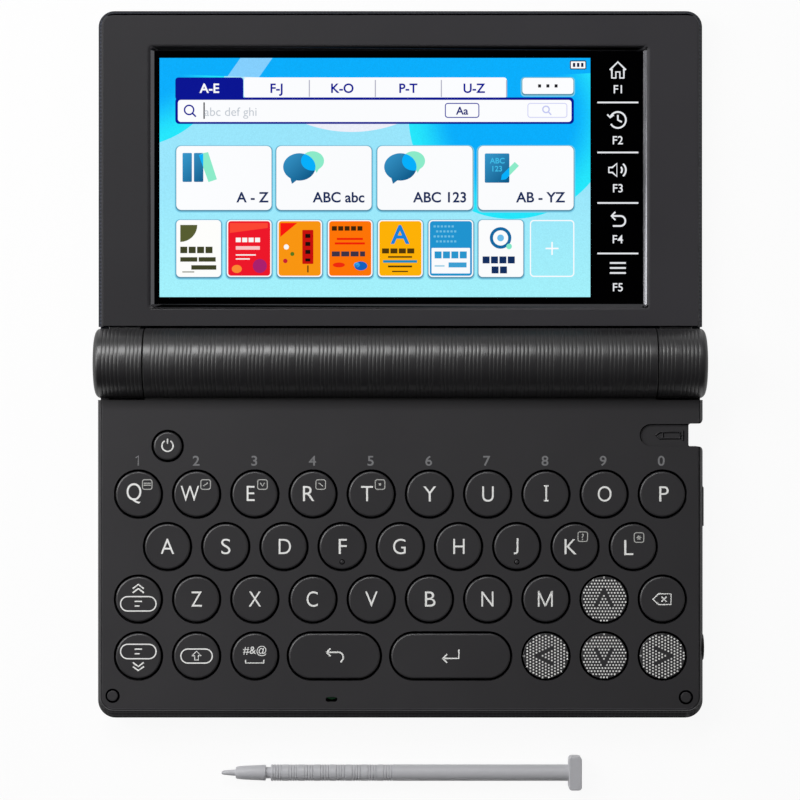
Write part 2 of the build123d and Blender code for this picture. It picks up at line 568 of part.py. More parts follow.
# ---- back cover of the lid: a tray with the same leaning rim ----
TONGUE_X = (63.4, 71.2)
TONGUE_Y = (4.0, 20.0)
LID_EDGE_WALL = 1.2
LID_CAVITY_CORNER_R = 2.0
STRIP_RAILS = (50, 60.5)     # rails that carry the panel beside the display
with BuildPart() as lid_back_cover:
    low = body_plan(LID_OUTER, LID_NEAR, LID_FAR, KEEL_INSET, KEEL_INSET, LID_CORNER_R - KEEL_INSET)
    wide = body_plan(LID_WAIST[0], LID_NEAR, LID_FAR, -LID_FLARE, 0, LID_CORNER_R)
    wide_top = body_plan(LID_WAIST[1], LID_NEAR, LID_FAR, -LID_FLARE, 0, LID_CORNER_R)
    rim = body_plan(LID_SEAM, LID_NEAR, LID_FAR, LID_RIM_SIDE, LID_RIM_FAR, LID_RIM_CORNER_R)
    loft(sections=[low, wide], ruled=True)
    loft(sections=[wide, wide_top], ruled=True)
    loft(sections=[wide_top, rim], ruled=True)
    add(body_plan(LID_FLOOR, LID_NEAR + LID_EDGE_WALL, LID_FAR, LID_WALL, LID_WALL, LID_CAVITY_CORNER_R))
    extrude(amount=LID_SEAM - LID_FLOOR, mode=Mode.SUBTRACT)
    for side in (-1, 1):
        block(sorted((side * TONGUE_X[0], side * TONGUE_X[1])), (LID_NEAR - 1, LID_NEAR + LID_EDGE_WALL),
              (LID_FLOOR, LID_SEAM), mode=Mode.SUBTRACT)
    for side in (-1, 1):
        block(sorted((side * LIP_X[0], side * LIP_X[1])), (LIP_REACH, LID_NEAR), (LID_OUTER, LIP_TOP))
        block(sorted((side * LIP_CORNER_X[0], side * LIP_CORNER_X[1])), (LIP_REACH, LID_NEAR), LIP_CORNER_Z)
        block(sorted((side * LIP_SEAM_X[0], side * LIP_SEAM_X[1])), (LIP_REACH, LID_NEAR), LIP_SEAM_Z)
    rebate_half = BARREL_HALF + BARREL_GAP
    block((-rebate_half, rebate_half), (LID_NEAR, LID_REBATE), (0, DOOR_LIP[1] + DOOR_LIP_GAP),
          mode=Mode.SUBTRACT)
    for x in STRIP_RAILS:
        block((x, x + RIB_THICK), PANEL_Y, (LID_FLOOR, LID_SEAM - PANEL_THICK))
save(lid_back_cover, "lid_back_cover")

# ---- touch panel and the display under it ----
with BuildPart() as touch_panel:
    block(PANEL_X, PANEL_Y, (LID_SEAM - PANEL_THICK, LID_SEAM))
save(touch_panel, "touch_panel")

GLASS_STEP = 0.4             # the display's glass stands above its frame
GLASS_INSET = 1.2
with BuildPart() as display_module:
    block(DISPLAY_X, DISPLAY_Y, (LID_FLOOR, LID_SEAM - PANEL_THICK - GLASS_STEP))
    block((DISPLAY_X[0] + GLASS_INSET, DISPLAY_X[1] - GLASS_INSET),
          (DISPLAY_Y[0] + GLASS_INSET, DISPLAY_Y[1] - GLASS_INSET),
          (LID_SEAM - PANEL_THICK - GLASS_STEP, LID_SEAM - PANEL_THICK))
save(display_module, "display_module")

# ---- knuckles: ribbed like the barrel, they turn on the pins and carry the lid by a tongue ----
PIN_END_GAP = 0.1
band_1, band_2 = KNUCKLE_BANDS
sunk_r = KNUCKLE_R - RIB_DEPTH
knuckle_outline = [(KNUCKLE_NEAR, 0), (KNUCKLE_NEAR, sunk_r), (band_1[1], sunk_r), (band_1[1], KNUCKLE_R),
                   (band_2[0], KNUCKLE_R), (band_2[0], sunk_r), (band_2[1], sunk_r), (band_2[1], KNUCKLE_R),
                   (KNUCKLE_FAR - KNUCKLE_CORNER[0], KNUCKLE_R),
                   (KNUCKLE_FAR - KNUCKLE_CROWN[0], KNUCKLE_R - KNUCKLE_CORNER[1]),
                   (KNUCKLE_FAR, KNUCKLE_CROWN[1]), (KNUCKLE_FAR, 0)]
for side, name in ((-1, "hinge_knuckle_left"), (1, "hinge_knuckle_right")):
    with BuildPart() as hinge_knuckle:
        with BuildSketch(Plane.XZ):
            with BuildLine():
                Polyline(*[(side * x, AXIS_Z + radius) for x, radius in knuckle_outline], close=True)
            make_face()
        revolve(axis=Axis((0, 0, AXIS_Z), (1, 0, 0)))
        block(sorted((side * TONGUE_X[0], side * TONGUE_X[1])), TONGUE_Y, (LID_FLOOR, LID_SEAM))
        rod_x(sorted((side * KNUCKLE_NEAR, side * (PIN_OUTER + PIN_END_GAP))), 0, AXIS_Z, PIN_BORE,
              mode=Mode.SUBTRACT)
    save(hinge_knuckle, name)

# ---- stylus, lying on the table in front of the base ----
NIB_LENGTH = 3.6
NIB_R = (0.4, 0.8)           # at the point and where it enters the holder
HOLDER_LENGTH = 7.4
HOLDER_R = (1.2, 1.6, 1.95)
HOLDER_LEAD = 2.0            # length of the steeper stretch beside the nib
GROOVE_LENGTH = 1.2
GROOVE_R = 1.4
SHAFT_LENGTH = 73.0
HEAD_X = 3.05
HEAD_Y = 8.2
HEAD_ROUND = 0.8
STYLUS_Z = HEAD_THICK / 2
holder_end = NIB_LENGTH + HOLDER_LENGTH
shaft_start = holder_end + GROOVE_LENGTH
shaft_end = shaft_start + SHAFT_LENGTH
with BuildPart() as stylus:
    with BuildSketch(Plane.XY):
        with BuildLine():
            Polyline((0, 0), (NIB_R[0] / 2, NIB_R[0]), (NIB_LENGTH, NIB_R[1]), (NIB_LENGTH, HOLDER_R[0]),
                     (NIB_LENGTH + HOLDER_LEAD, HOLDER_R[1]), (holder_end, HOLDER_R[2]),
                     (holder_end, GROOVE_R), (shaft_start, GROOVE_R), (shaft_start, STYLUS_R),
                     (shaft_end, STYLUS_R), (shaft_end, 0), close=True)
        make_face()
    revolve(axis=Axis.X)
    block((shaft_end, shaft_end + HEAD_X), (-HEAD_Y / 2, HEAD_Y / 2), (-HEAD_THICK / 2, HEAD_THICK / 2))
    head_edges = stylus.edges().filter_by(Axis.Z).filter_by(lambda edge: edge.center().X > shaft_start)
    fillet(head_edges, HEAD_ROUND)
stylus.part.position = (STYLUS_X, STYLUS_Y, STYLUS_Z)
save(stylus, "stylus")

# ---- keys: a cap on a square retaining flange that stays under the deck ----
FLANGE_MARGIN = 1.1          # how much wider than its cap the flange of an oval key is
MARKED_KEYS = ("f", "j")     # home keys, found by touch
MARK_R = 0.4
MARK_OFFSET = 3.7
MARK_HEIGHT = 0.12
for name, x, y in ROUND_KEYS:
    with BuildPart() as key:
        with BuildSketch(Plane.XY.offset(FLANGE_BOTTOM)):
            with Locations((x, y)):
                Rectangle(FLANGE_X, FLANGE_Y)
        extrude(amount=FLANGE_TOP - FLANGE_BOTTOM)
        post(x, y, (FLANGE_TOP, KEY_TOP), KEY_R)
        if name in MARKED_KEYS:
            post(x, y - MARK_OFFSET, (KEY_TOP, KEY_TOP + MARK_HEIGHT), MARK_R)
    save(key, f"key_{name}")

for name, x, width in OVAL_KEYS:
    with BuildPart() as key:
        with BuildSketch(Plane.XY.offset(FLANGE_BOTTOM)):
            with Locations((x, ROW_4_Y)):
                Rectangle(width + FLANGE_MARGIN, FLANGE_Y)
        extrude(amount=FLANGE_TOP - FLANGE_BOTTOM)
        with BuildSketch(Plane.XY.offset(FLANGE_TOP)):
            with Locations((x, ROW_4_Y)):
                SlotOverall(width, 2 * KEY_R)
        extrude(amount=KEY_TOP - FLANGE_TOP)
    save(key, f"key_{name}")

with BuildPart() as key_power:
    with BuildSketch(Plane.XY.offset(FLANGE_BOTTOM)):
        with Locations(POWER_XY):
            Rectangle(POWER_FLANGE, POWER_FLANGE)
    extrude(amount=FLANGE_TOP - FLANGE_BOTTOM)
    post(*POWER_XY, (FLANGE_TOP, KEY_TOP), POWER_R)
save(key_power, "key_power")
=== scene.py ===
"""Pocket electronic dictionary: finishes, legends, screen and fine parts over its fixed frame."""
import json
from math import cos, hypot, pi, radians, sin, sqrt

import bmesh
import bpy
from bpy.props import FloatProperty, FloatVectorProperty, IntProperty, PointerProperty
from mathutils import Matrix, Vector

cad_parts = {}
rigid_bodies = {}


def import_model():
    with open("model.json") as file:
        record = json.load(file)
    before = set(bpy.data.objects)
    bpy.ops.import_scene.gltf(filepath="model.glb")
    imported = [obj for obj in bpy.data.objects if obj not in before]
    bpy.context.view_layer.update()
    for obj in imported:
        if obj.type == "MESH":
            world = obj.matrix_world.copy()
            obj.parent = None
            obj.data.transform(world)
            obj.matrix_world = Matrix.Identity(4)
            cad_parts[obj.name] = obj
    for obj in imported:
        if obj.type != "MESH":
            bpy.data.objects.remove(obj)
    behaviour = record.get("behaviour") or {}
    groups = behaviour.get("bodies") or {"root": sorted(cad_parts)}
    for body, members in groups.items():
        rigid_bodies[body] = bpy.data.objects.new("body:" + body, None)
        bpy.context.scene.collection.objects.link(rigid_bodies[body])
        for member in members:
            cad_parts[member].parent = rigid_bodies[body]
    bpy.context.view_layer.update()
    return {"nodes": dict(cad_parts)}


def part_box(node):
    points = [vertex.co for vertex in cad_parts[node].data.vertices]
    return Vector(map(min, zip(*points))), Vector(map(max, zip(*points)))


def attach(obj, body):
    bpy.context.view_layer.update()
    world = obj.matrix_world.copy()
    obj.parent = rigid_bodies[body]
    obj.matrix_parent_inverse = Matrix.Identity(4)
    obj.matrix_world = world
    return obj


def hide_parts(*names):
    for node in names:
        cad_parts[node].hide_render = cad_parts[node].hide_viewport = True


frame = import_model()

bl_info = {
    "name": "Electronic Dictionary",
    "version": (1, 0, 0),
    "blender": (4, 5, 0),
    "location": "3D View > Sidebar > Dictionary",
    "description": "Dresses the frame of a pocket dictionary with its finishes, legends and fine parts",
    "category": "Add Mesh",
}

MM = 0.001
INK_THICK = 0.02 * MM
CAPITAL_HEIGHT = 0.729  # of the font, at size 1
NODES = frame["nodes"]


def middle(node):
    """Centre of a node's box at rest."""
    low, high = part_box(node)
    return (low + high) / 2


AXIS_Z = middle("hinge_pins").z
BARREL_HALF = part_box("barrel_cover")[1].x
BARREL_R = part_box("barrel_cover")[1].z - AXIS_Z
KNUCKLE_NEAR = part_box("hinge_knuckle_right")[0].x
KNUCKLE_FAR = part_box("hinge_knuckle_right")[1].x
KNUCKLE_R = AXIS_Z
DECK_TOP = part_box("base_top_case")[1].z
KEY_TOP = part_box("key_a")[1].z
PANEL_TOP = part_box("touch_panel")[1].z
KEYS = sorted(name for name in NODES if name.startswith("key_") and name != "key_dome_sheet")
LETTERS = [name for name in KEYS if len(name) == len("key_a")]


# ---------------------------------------------------------------- settings a user would change

def tone(red, green, blue):
    """Linear colour of a display colour given from 0 to 255."""
    def linear(level):
        share = level / 255
        return share / 12.92 if share <= 0.04045 else ((share + 0.055) / 1.055) ** 2.4
    return (linear(red), linear(green), linear(blue), 1.0)


def colour(name, description, red, green, blue):
    return FloatVectorProperty(name=name, description=description, subtype="COLOR", size=4,
                               min=0, max=1, default=tone(red, green, blue))


def size(name, description, millimetres):
    return FloatProperty(name=name, description=description, default=millimetres * MM,
                         subtype="DISTANCE", unit="LENGTH", precision=5)


class DictionaryFinish(bpy.types.PropertyGroup):
    """Colours of the mouldings, inks and inner parts."""
    deck: colour("Deck", "Plastic of the keyboard deck", 51, 50, 52)
    bezel: colour("Bezel", "Plastic around the screen", 46, 45, 48)
    barrel: colour("Barrel", "Plastic of the ribbed barrel", 30, 29, 31)
    rim: colour("Rim", "Textured plastic of the lid's back", 50, 53, 64)
    tray: colour("Tray", "Textured plastic of the tray", 46, 45, 48)
    key: colour("Keys", "Plastic of the key caps", 47, 46, 48)
    ink: colour("Legend ink", "Print on the keys", 233, 233, 231)
    digit: colour("Digit ink", "Print of the digits on the deck", 120, 120, 122)
    stylus: colour("Stylus", "Plastic of the stylus", 185, 185, 189)
    rubber: colour("Rubber", "Feet, bumpers and key domes", 38, 38, 39)
    inner: colour("Inner plastic", "Hidden mouldings", 30, 30, 31)


class DictionarySizes(bpy.types.PropertyGroup):
    """Sizes of the fine parts."""
    key_round: size("Key edge", "Rounding of a key cap's upper edge", 0.45)
    groove_pitch: size("Groove pitch", "Spacing of the fine grooves on the barrel", 0.952)
    groove_width: size("Groove width", "Width of a groove on the barrel", 0.4)
    groove_depth: size("Groove depth", "Depth of a groove on the barrel", 0.035)
    group_land: size("Land", "Plain stretch between two groups of grooves", 1.04)
    groove_count: IntProperty(name="Grooves", description="Grooves in one group", default=5)
    group_count: IntProperty(name="Groups", description="Groups along the barrel", default=21)
    ink: size("Ink", "Height of print over its surface", 0.02)
    letter: size("Letter", "Height of a capital on a key", 3.95)
    digit: size("Digit", "Height of a digit on the deck", 2.45)
    dot_pitch: size("Dot pitch", "Spacing of the dots on the arrow keys", 0.745)
    dot: size("Dot", "Diameter of a dot on an arrow key", 0.44)


class DictionaryScreen(bpy.types.PropertyGroup):
    """Colours of the picture on the display."""
    sky: colour("Sky", "Blue of the background", 4, 174, 252)
    haze: colour("Haze", "Pale part of the background", 154, 230, 252)
    navy: colour("Navy", "Active tab and borders", 3, 16, 146)
    paper: colour("Paper", "Tabs, cards and the search field", 252, 253, 255)
    caption: colour("Caption", "Captions on the cards", 24, 42, 88)
    light: FloatProperty(name="Backlight", description="Strength of the lit picture", default=1.0,
                         min=0, subtype="FACTOR", soft_max=2)


class DictionaryStudio(bpy.types.PropertyGroup):
    """Camera, lamps and surroundings."""
    height: FloatProperty(name="Camera height", description="Height above the table", default=0.7,
                          unit="LENGTH")
    side: FloatProperty(name="Camera side", description="Place along X", default=-0.00009, unit="LENGTH")
    aim: FloatProperty(name="Camera aim", description="Place along Y", default=-0.008913, unit="LENGTH")
    lens: FloatProperty(name="Focal length", description="In millimetres on a 36 mm sensor", default=128.07)
    key: FloatProperty(name="Key lamp", description="Power", default=2.5, unit="POWER")
    rear: FloatProperty(name="Rear lamp", description="Power", default=2.2, unit="POWER")
    fill: FloatProperty(name="Fill lamp", description="Power", default=1.2, unit="POWER")
    ambient: FloatProperty(name="Ambient", description="Strength of the surroundings", default=0.2)


# ---------------------------------------------------------------- modelling helpers

def alone(obj):
    """Make one object the only selected and active one."""
    bpy.ops.object.select_all(action="DESELECT")
    obj.select_set(True)
    bpy.context.view_layer.objects.active = obj
    return obj


def edit(obj):
    """Open a mesh in edit mode with all of it selected."""
    alone(obj)
    bpy.ops.object.mode_set(mode="EDIT")
    bpy.ops.mesh.select_mode(type="VERT")
    bpy.ops.mesh.select_all(action="SELECT")


def leave():
    """Close edit mode."""
    bpy.ops.object.mode_set(mode="OBJECT")
    return bpy.context.object


def named(name):
    """The object that an operator has just made, with its name."""
    bpy.context.object.name = name
    return bpy.context.object


def pick(kind, test):
    """In edit mode, select just the verts, edges or faces that pass a test."""
    bpy.ops.mesh.select_mode(type={"verts": "VERT", "edges": "EDGE", "faces": "FACE"}[kind])
    bpy.ops.mesh.select_all(action="DESELECT")
    mesh = bmesh.from_edit_mesh(bpy.context.edit_object.data)
    for item in getattr(mesh, kind):
        if test(item):
            item.select_set(True)
    mesh.select_flush_mode()
    bmesh.update_edit_mesh(bpy.context.edit_object.data)


def bevel_edges(test, offset, segments):
    """In edit mode, round the edges that pass a test."""
    pick("edges", test)
    bpy.ops.mesh.bevel(offset=offset, segments=segments, affect="EDGES")


def centre(item):
    """Middle of an edge, or of a face."""
    points = [v.co for v in item.verts]
    return sum(points, Vector()) / len(points)


def at_height(face, height, within):
    """Whether a face lies at a height."""
    return abs(centre(face).z - height) < within


def folded(edge, least):
    """Whether two faces meet at an edge by more than an angle."""
    return len(edge.link_faces) == 2 and edge.link_faces[0].normal.angle(edge.link_faces[1].normal) > least


def settle(obj):
    """Bring an object's place, turn and size into its mesh."""
    alone(obj)
    bpy.ops.object.transform_apply(location=True, rotation=True, scale=True)
    return obj


def join(name, objects):
    """Join objects into one."""
    bpy.ops.object.select_all(action="DESELECT")
    for obj in objects:
        obj.select_set(True)
    bpy.context.view_layer.objects.active = objects[0]
    if len(objects) > 1:
        bpy.ops.object.join()
    return named(name)


def merged(obj, threshold=0.001 * MM):
    """Merge the points that lie on each other."""
    edit(obj)
    bpy.ops.mesh.remove_doubles(threshold=threshold)
    return leave()


def tidy_mesh(obj, angle):
    """Merge doubles, point faces outwards and shade curved faces smooth."""
    edit(merged(obj, 0.002 * MM))
    bpy.ops.mesh.normals_make_consistent(inside=False)
    return even_shading(leave(), angle)


def even_shading(obj, angle):
    """Shade curves smooth and keep flats flat where the two meet."""
    alone(obj)
    bpy.ops.object.shade_smooth_by_angle(angle=radians(angle))
    edit(obj)
    pick("faces", lambda face: max(abs(side) for side in face.normal) > 0.99999)
    bpy.ops.mesh.faces_shade_flat()
    return leave()


def material(made):
    """A material, or the one of that name."""
    return bpy.data.materials[made] if isinstance(made, str) else made


def coat(obj, made):
    """Give an object one material."""
    obj.data.materials.clear()
    obj.data.materials.append(material(made))


def paint_faces(obj, made, test):
    """Give the faces that pass a test a further material."""
    alone(obj)
    bpy.ops.object.material_slot_add()
    obj.material_slots[-1].material = material(made)
    obj.active_material_index = len(obj.material_slots) - 1
    edit(obj)
    pick("faces", test)
    bpy.ops.object.material_slot_assign()
    return leave()


def copy_of(obj, name, offset=(0, 0, 0)):
    """A copy with its own mesh, moved by an offset that goes into the mesh."""
    alone(obj)
    bpy.ops.object.duplicate(linked=False)
    twin = named(name)
    twin.location = Vector(offset)
    return settle(twin)


def apply_modifier(obj, kind, **settings):
    """Add a modifier and apply it."""
    alone(obj)
    modifier = obj.modifiers.new(kind.title(), kind)
    for key, value in settings.items():
        setattr(modifier, key, value)
    bpy.ops.object.modifier_apply(modifier=modifier.name)
    return obj


def repeat(obj, count, step, merge=False):
    """A row of copies, each a step on from the one before."""
    return apply_modifier(obj, "ARRAY", count=count, use_relative_offset=False, use_constant_offset=True,
                          constant_offset_displace=step, use_merge_vertices=merge, merge_threshold=0.001 * MM)


def box(name, low, high, rounding=0.0):
    """A box between two corners with rounded edges."""
    low, high = Vector(low), Vector(high)
    bpy.ops.mesh.primitive_cube_add(size=1, location=(low + high) / 2)
    obj = named(name)
    obj.scale = high - low
    settle(obj)
    if rounding:
        edit(obj)
        bpy.ops.mesh.bevel(offset=rounding, segments=3, affect="EDGES")
        leave()
    return obj


def disc(name, place, radius, low, high, rounding=0.0, sides=64, segments=4):
    """An upright cylinder with a rounded upper edge."""
    bpy.ops.mesh.primitive_cylinder_add(vertices=sides, radius=radius, depth=high - low,
                                        location=(place[0], place[1], (low + high) / 2))
    obj = settle(named(name))
    if rounding:
        edit(obj)
        bevel_edges(lambda edge: all(v.co.z > high - MM * 0.01 for v in edge.verts), rounding, segments)
        leave()
    return obj


def thicken(thick):
    """In edit mode, give a flat outline a thickness downwards."""
    bpy.ops.mesh.extrude_region_move(TRANSFORM_OT_translate={"value": (0, 0, -thick)})
    bpy.ops.mesh.select_all(action="SELECT")
    bpy.ops.mesh.normals_make_consistent(inside=False)
    return leave()


def plate(name, x_range, y_range, top, thick, corner=0.0, border=0.0):
    """A thin rounded plate, or with a border just its rounded frame."""
    bpy.ops.mesh.primitive_plane_add(size=1, location=(sum(x_range) / 2, sum(y_range) / 2, top))
    obj = named(name)
    obj.scale = (abs(x_range[1] - x_range[0]), abs(y_range[1] - y_range[0]), 1)
    edit(settle(obj))
    if corner:
        bpy.ops.mesh.bevel(offset=corner, segments=6, affect="VERTICES")
    if border:
        bpy.ops.mesh.inset(thickness=border)
        bpy.ops.mesh.delete(type="FACE")
        bpy.ops.mesh.select_all(action="SELECT")
    return thicken(thick)


def trail(points):
    """In edit mode, extrude the selected vertex along a list of points."""
    mesh = bmesh.from_edit_mesh(bpy.context.edit_object.data)
    here = next(v.co.copy() for v in mesh.verts if v.select)
    for point in points:
        step = Vector(point) - here
        bpy.ops.mesh.extrude_region_move(TRANSFORM_OT_translate={"value": step})
        here = Vector(point)


def drawn_line(name, points):
    """A chain of edges drawn by extruding one vertex."""
    bpy.ops.mesh.primitive_plane_add(size=MM)
    edit(named(name))
    bpy.ops.mesh.merge(type="CENTER")
    bpy.ops.transform.translate(value=points[0])
    trail(points[1:])
    return leave()


def shape(name, points, top, thick):
    """A flat plate with a drawn outline."""
    edit(merged(drawn_line(name, [(x, y, top) for x, y in points + points[:1]])))
    bpy.ops.mesh.edge_face_add()
    return thicken(thick)


def grooved_line(name, start, radius, count, land, groups):
    """A profile along X at a radius from it: groups of rounded grooves parted by plain lands."""
    cut = sizes()
    pitch, width, depth = cut.groove_pitch, cut.groove_width / cut.groove_pitch, cut.groove_depth
    dip = [(0.5 + width * aside, down) for aside, down in (
        (-0.5, 0), (-0.36, 0.25), (-0.18, 0.82), (0, 1), (0.18, 0.82), (0.36, 0.25), (0.5, 0))] + [(1, 0)]
    cell = [(start, radius, 0)] + [(start + pitch * along, radius - depth * down, 0) for along, down in dip]
    line = repeat(drawn_line(name, cell), count, (pitch, 0, 0), True)
    if land:
        extend(line, 1, [(start + pitch * count + land, radius, 0)])
    if groups > 1:
        repeat(line, groups, (pitch * count + land, 0, 0), True)
    return line


def extend(line, side, points):
    """Carry a profile on from its end at low X (side -1) or high X (side 1)."""
    edit(line)
    far = max(v.co.x * side for v in line.data.vertices)
    pick("verts", lambda v: v.co.x * side > far - 0.0001 * MM and len(v.link_edges) < 2)
    trail(points)
    return leave()


def turned(line, centre_yz, angle, steps, first=0.0):
    """Turn a profile, drawn along X at a radius in Y, about X, starting from a first angle."""
    line.rotation_euler.x = first
    line.location = (0, *centre_yz)
    edit(settle(line))
    bpy.ops.mesh.spin(steps=steps, angle=-angle, center=(0, *centre_yz), axis=(1, 0, 0))
    return leave()


def text(name, words, x, y, top, height, thick=2 * INK_THICK, bold=0.0, narrow=1.0):
    """Flat lettering made a mesh, its own box centred on a place."""
    bpy.ops.object.text_add(location=(0, 0, 0))
    obj = named(name)
    obj.data.body = words
    obj.data.size = 1
    obj.data.extrude = 0.01
    obj.data.offset = bold
    obj.data.resolution_u = 6
    bpy.ops.object.convert(target="MESH")
    obj = bpy.context.object
    scale = height / CAPITAL_HEIGHT
    xs = [v.co.x for v in obj.data.vertices]
    obj.scale = (scale * narrow, scale, thick / 0.02)
    obj.location = (x - scale * narrow * (min(xs) + max(xs)) / 2, y - height / 2, top - thick / 2)
    return settle(obj)


def arc(x, y, radius, start, end, steps=16):
    """Points along a circular arc, angles in degrees."""
    angles = [radians(start + (end - start) * step / steps) for step in range(steps + 1)]
    return [(x + radius * cos(angle), y + radius * sin(angle)) for angle in angles]


def strokes(name, lines, width, top, thick=INK_THICK):
    """Pen strokes of even width, drawn as curves, made a mesh and pressed flat."""
    bpy.ops.object.add(type="CURVE", location=(0, 0, 0))
    obj = named(name)
    obj.data.dimensions = "3D"
    obj.data.bevel_depth = width / 2
    obj.data.bevel_resolution = 1
    obj.data.use_fill_caps = True
    for points in lines:
        closed = points[0] == points[-1]
        points = points[:-1] if closed else points
        spline = obj.data.splines.new("POLY")
        spline.points.add(len(points) - 1)
        for spot, (x, y) in zip(spline.points, points):
            spot.co = (x, y, 0, 1)
        spline.use_cyclic_u = closed
    bpy.ops.object.convert(target="MESH")
    obj = bpy.context.object
    obj.scale.z = thick * 2 / width
    obj.location.z = top - thick
    return settle(obj)


def moved(lines, x, y, scale=1.0):
    """Strokes scaled and carried to a place."""
    return [[(x + scale * u, y + scale * v) for u, v in line] for line in lines]


def dress(obj, made, body):
    """Give a finished piece its material, body and slot."""
    coat(obj, made)
    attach(obj, body)
    return obj


def smooth_copy(node, name, body, made):
    """A node's own shape, merged and shaded smooth, standing for the node."""
    alone(NODES[node])
    bpy.ops.object.duplicate(linked=False)
    twin = bpy.context.object
    bpy.ops.object.parent_clear(type="CLEAR_KEEP_TRANSFORM")
    twin.name = name
    for key in list(twin.keys()):
        del twin[key]
    even_shading(merged(twin), 25)
    dress(twin, made, body)
    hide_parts(node)
    return twin


# ---------------------------------------------------------------- shader helpers

def add_node(tree, kind, inputs=None, **settings):
    """Add a shader node, set it up and wire its inputs."""
    made = tree.nodes.new(kind)
    for key, value in settings.items():
        setattr(made, key, value)
    for socket, value in (inputs or {}).items():
        if isinstance(value, bpy.types.NodeSocket):
            tree.links.new(value, made.inputs[socket])
        else:
            made.inputs[socket].default_value = value
    return made


def sums(tree, operation, first, second=0.0, third=0.0):
    """Output of a math node."""
    return add_node(tree, "ShaderNodeMath", {0: first, 1: second, 2: third}, operation=operation).outputs[0]


def object_place(tree):
    """Object coordinates of the shaded point."""
    return add_node(tree, "ShaderNodeTexCoord").outputs["Object"]


def split(tree, vector):
    """X, Y and Z of a vector."""
    return add_node(tree, "ShaderNodeSeparateXYZ", {0: vector}).outputs


def noise(tree, place, scale, detail=2.0, roughness=0.5):
    """Strength of a noise at a place."""
    return add_node(tree, "ShaderNodeTexNoise", {"Vector": place, "Scale": scale, "Detail": detail,
                                                 "Roughness": roughness}).outputs["Fac"]


def ramp(tree, value, low, high, first=0.0, last=1.0, kind="LINEAR"):
    """A level that runs from first to last while a value runs from low to high."""
    return add_node(tree, "ShaderNodeMapRange", {0: value, 1: low, 2: high, 3: first, 4: last},
                    interpolation_type=kind).outputs[0]


def scaled(tree, base, level):
    """A colour times a level."""
    return add_node(tree, "ShaderNodeVectorMath", {0: base, "Scale": level}, operation="SCALE").outputs[0]


def new_group(name, inputs, outputs):
    """A shader node group with named inputs and outputs, given as {name: (kind, default)}."""
    tree = bpy.data.node_groups.new(name, "ShaderNodeTree")
    for label, (kind, default) in inputs.items():
        socket = tree.interface.new_socket(label, in_out="INPUT", socket_type=f"NodeSocket{kind}")
        socket.default_value = default
    for label, kind in outputs.items():
        tree.interface.new_socket(label, in_out="OUTPUT", socket_type=f"NodeSocket{kind}")
    given = tree.nodes.new("NodeGroupInput").outputs
    result = tree.nodes.new("NodeGroupOutput").inputs
    return tree, given, result


def mix(tree, factor, low, high):
    """Colour between two colours."""
    return add_node(tree, "ShaderNodeMix", {0: factor, 6: low, 7: high}, data_type="RGBA").outputs[2]


def build_grain_group():
    """Fine spark-eroded grain of moulded plastic, with a faint cloudiness."""
    tree, given, result = new_group(
        "Moulded grain",
        {"Colour": ("Color", (0.05, 0.05, 0.05, 1)), "Grain": ("Float", 4000.0),
         "Contrast": ("Float", 0.1), "Roughness": ("Float", 0.5)},
        {"Colour": "Color", "Roughness": "Float", "Height": "Float"})
    place = object_place(tree)
    fine = noise(tree, place, given["Grain"], 2.0, 0.6)
    cloud = noise(tree, place, 45.0, 3.0)
    blend = sums(tree, "ADD", sums(tree, "MULTIPLY", fine, 0.6), sums(tree, "MULTIPLY", cloud, 0.4))
    swing = sums(tree, "MULTIPLY", sums(tree, "SUBTRACT", blend, 0.5), given["Contrast"])
    tree.links.new(scaled(tree, given["Colour"], sums(tree, "MULTIPLY_ADD", swing, 4.0, 1.0)), result["Colour"])
    rough = sums(tree, "MULTIPLY_ADD", sums(tree, "SUBTRACT", cloud, 0.5), 0.16, given["Roughness"])
    tree.links.new(rough, result["Roughness"])
    tree.links.new(fine, result["Height"])


def build_stipple_group():
    """A lattice of small raised dots that meets every face the same way."""
    tree, given, result = new_group("Stippled rim", {"Pitch": ("Float", 0.0009)}, {"Mask": "Float"})
    turn = sums(tree, "DIVIDE", 2 * pi, given["Pitch"])
    along = split(tree, object_place(tree))
    waves = [sums(tree, "COSINE", sums(tree, "MULTIPLY", along[axis], turn)) for axis in range(3)]
    field = sums(tree, "ADD", sums(tree, "ADD", waves[0], waves[1]), waves[2])
    tree.links.new(ramp(tree, field, -0.3, 0.6, kind="SMOOTHSTEP"), result["Mask"])


def build_groove_group():
    """Mask of what lies below a barrel's full radius: 1 at the bottom of a groove."""
    tree, given, result = new_group(
        "Groove shade", {"Axis Y": ("Float", 0.0), "Axis Z": ("Float", 0.0), "Radius": ("Float", 0.0085),
                         "Depth": ("Float", 0.0002)}, {"Mask": "Float"})
    along = split(tree, object_place(tree))
    side = sums(tree, "POWER", sums(tree, "SUBTRACT", along[1], given["Axis Y"]), 2.0)
    rise = sums(tree, "POWER", sums(tree, "SUBTRACT", along[2], given["Axis Z"]), 2.0)
    reach = sums(tree, "SQRT", sums(tree, "ADD", side, rise))
    below = sums(tree, "DIVIDE", sums(tree, "SUBTRACT", given["Radius"], reach), given["Depth"])
    tree.links.new(ramp(tree, below, 0.15, 0.95, kind="SMOOTHSTEP"), result["Mask"])


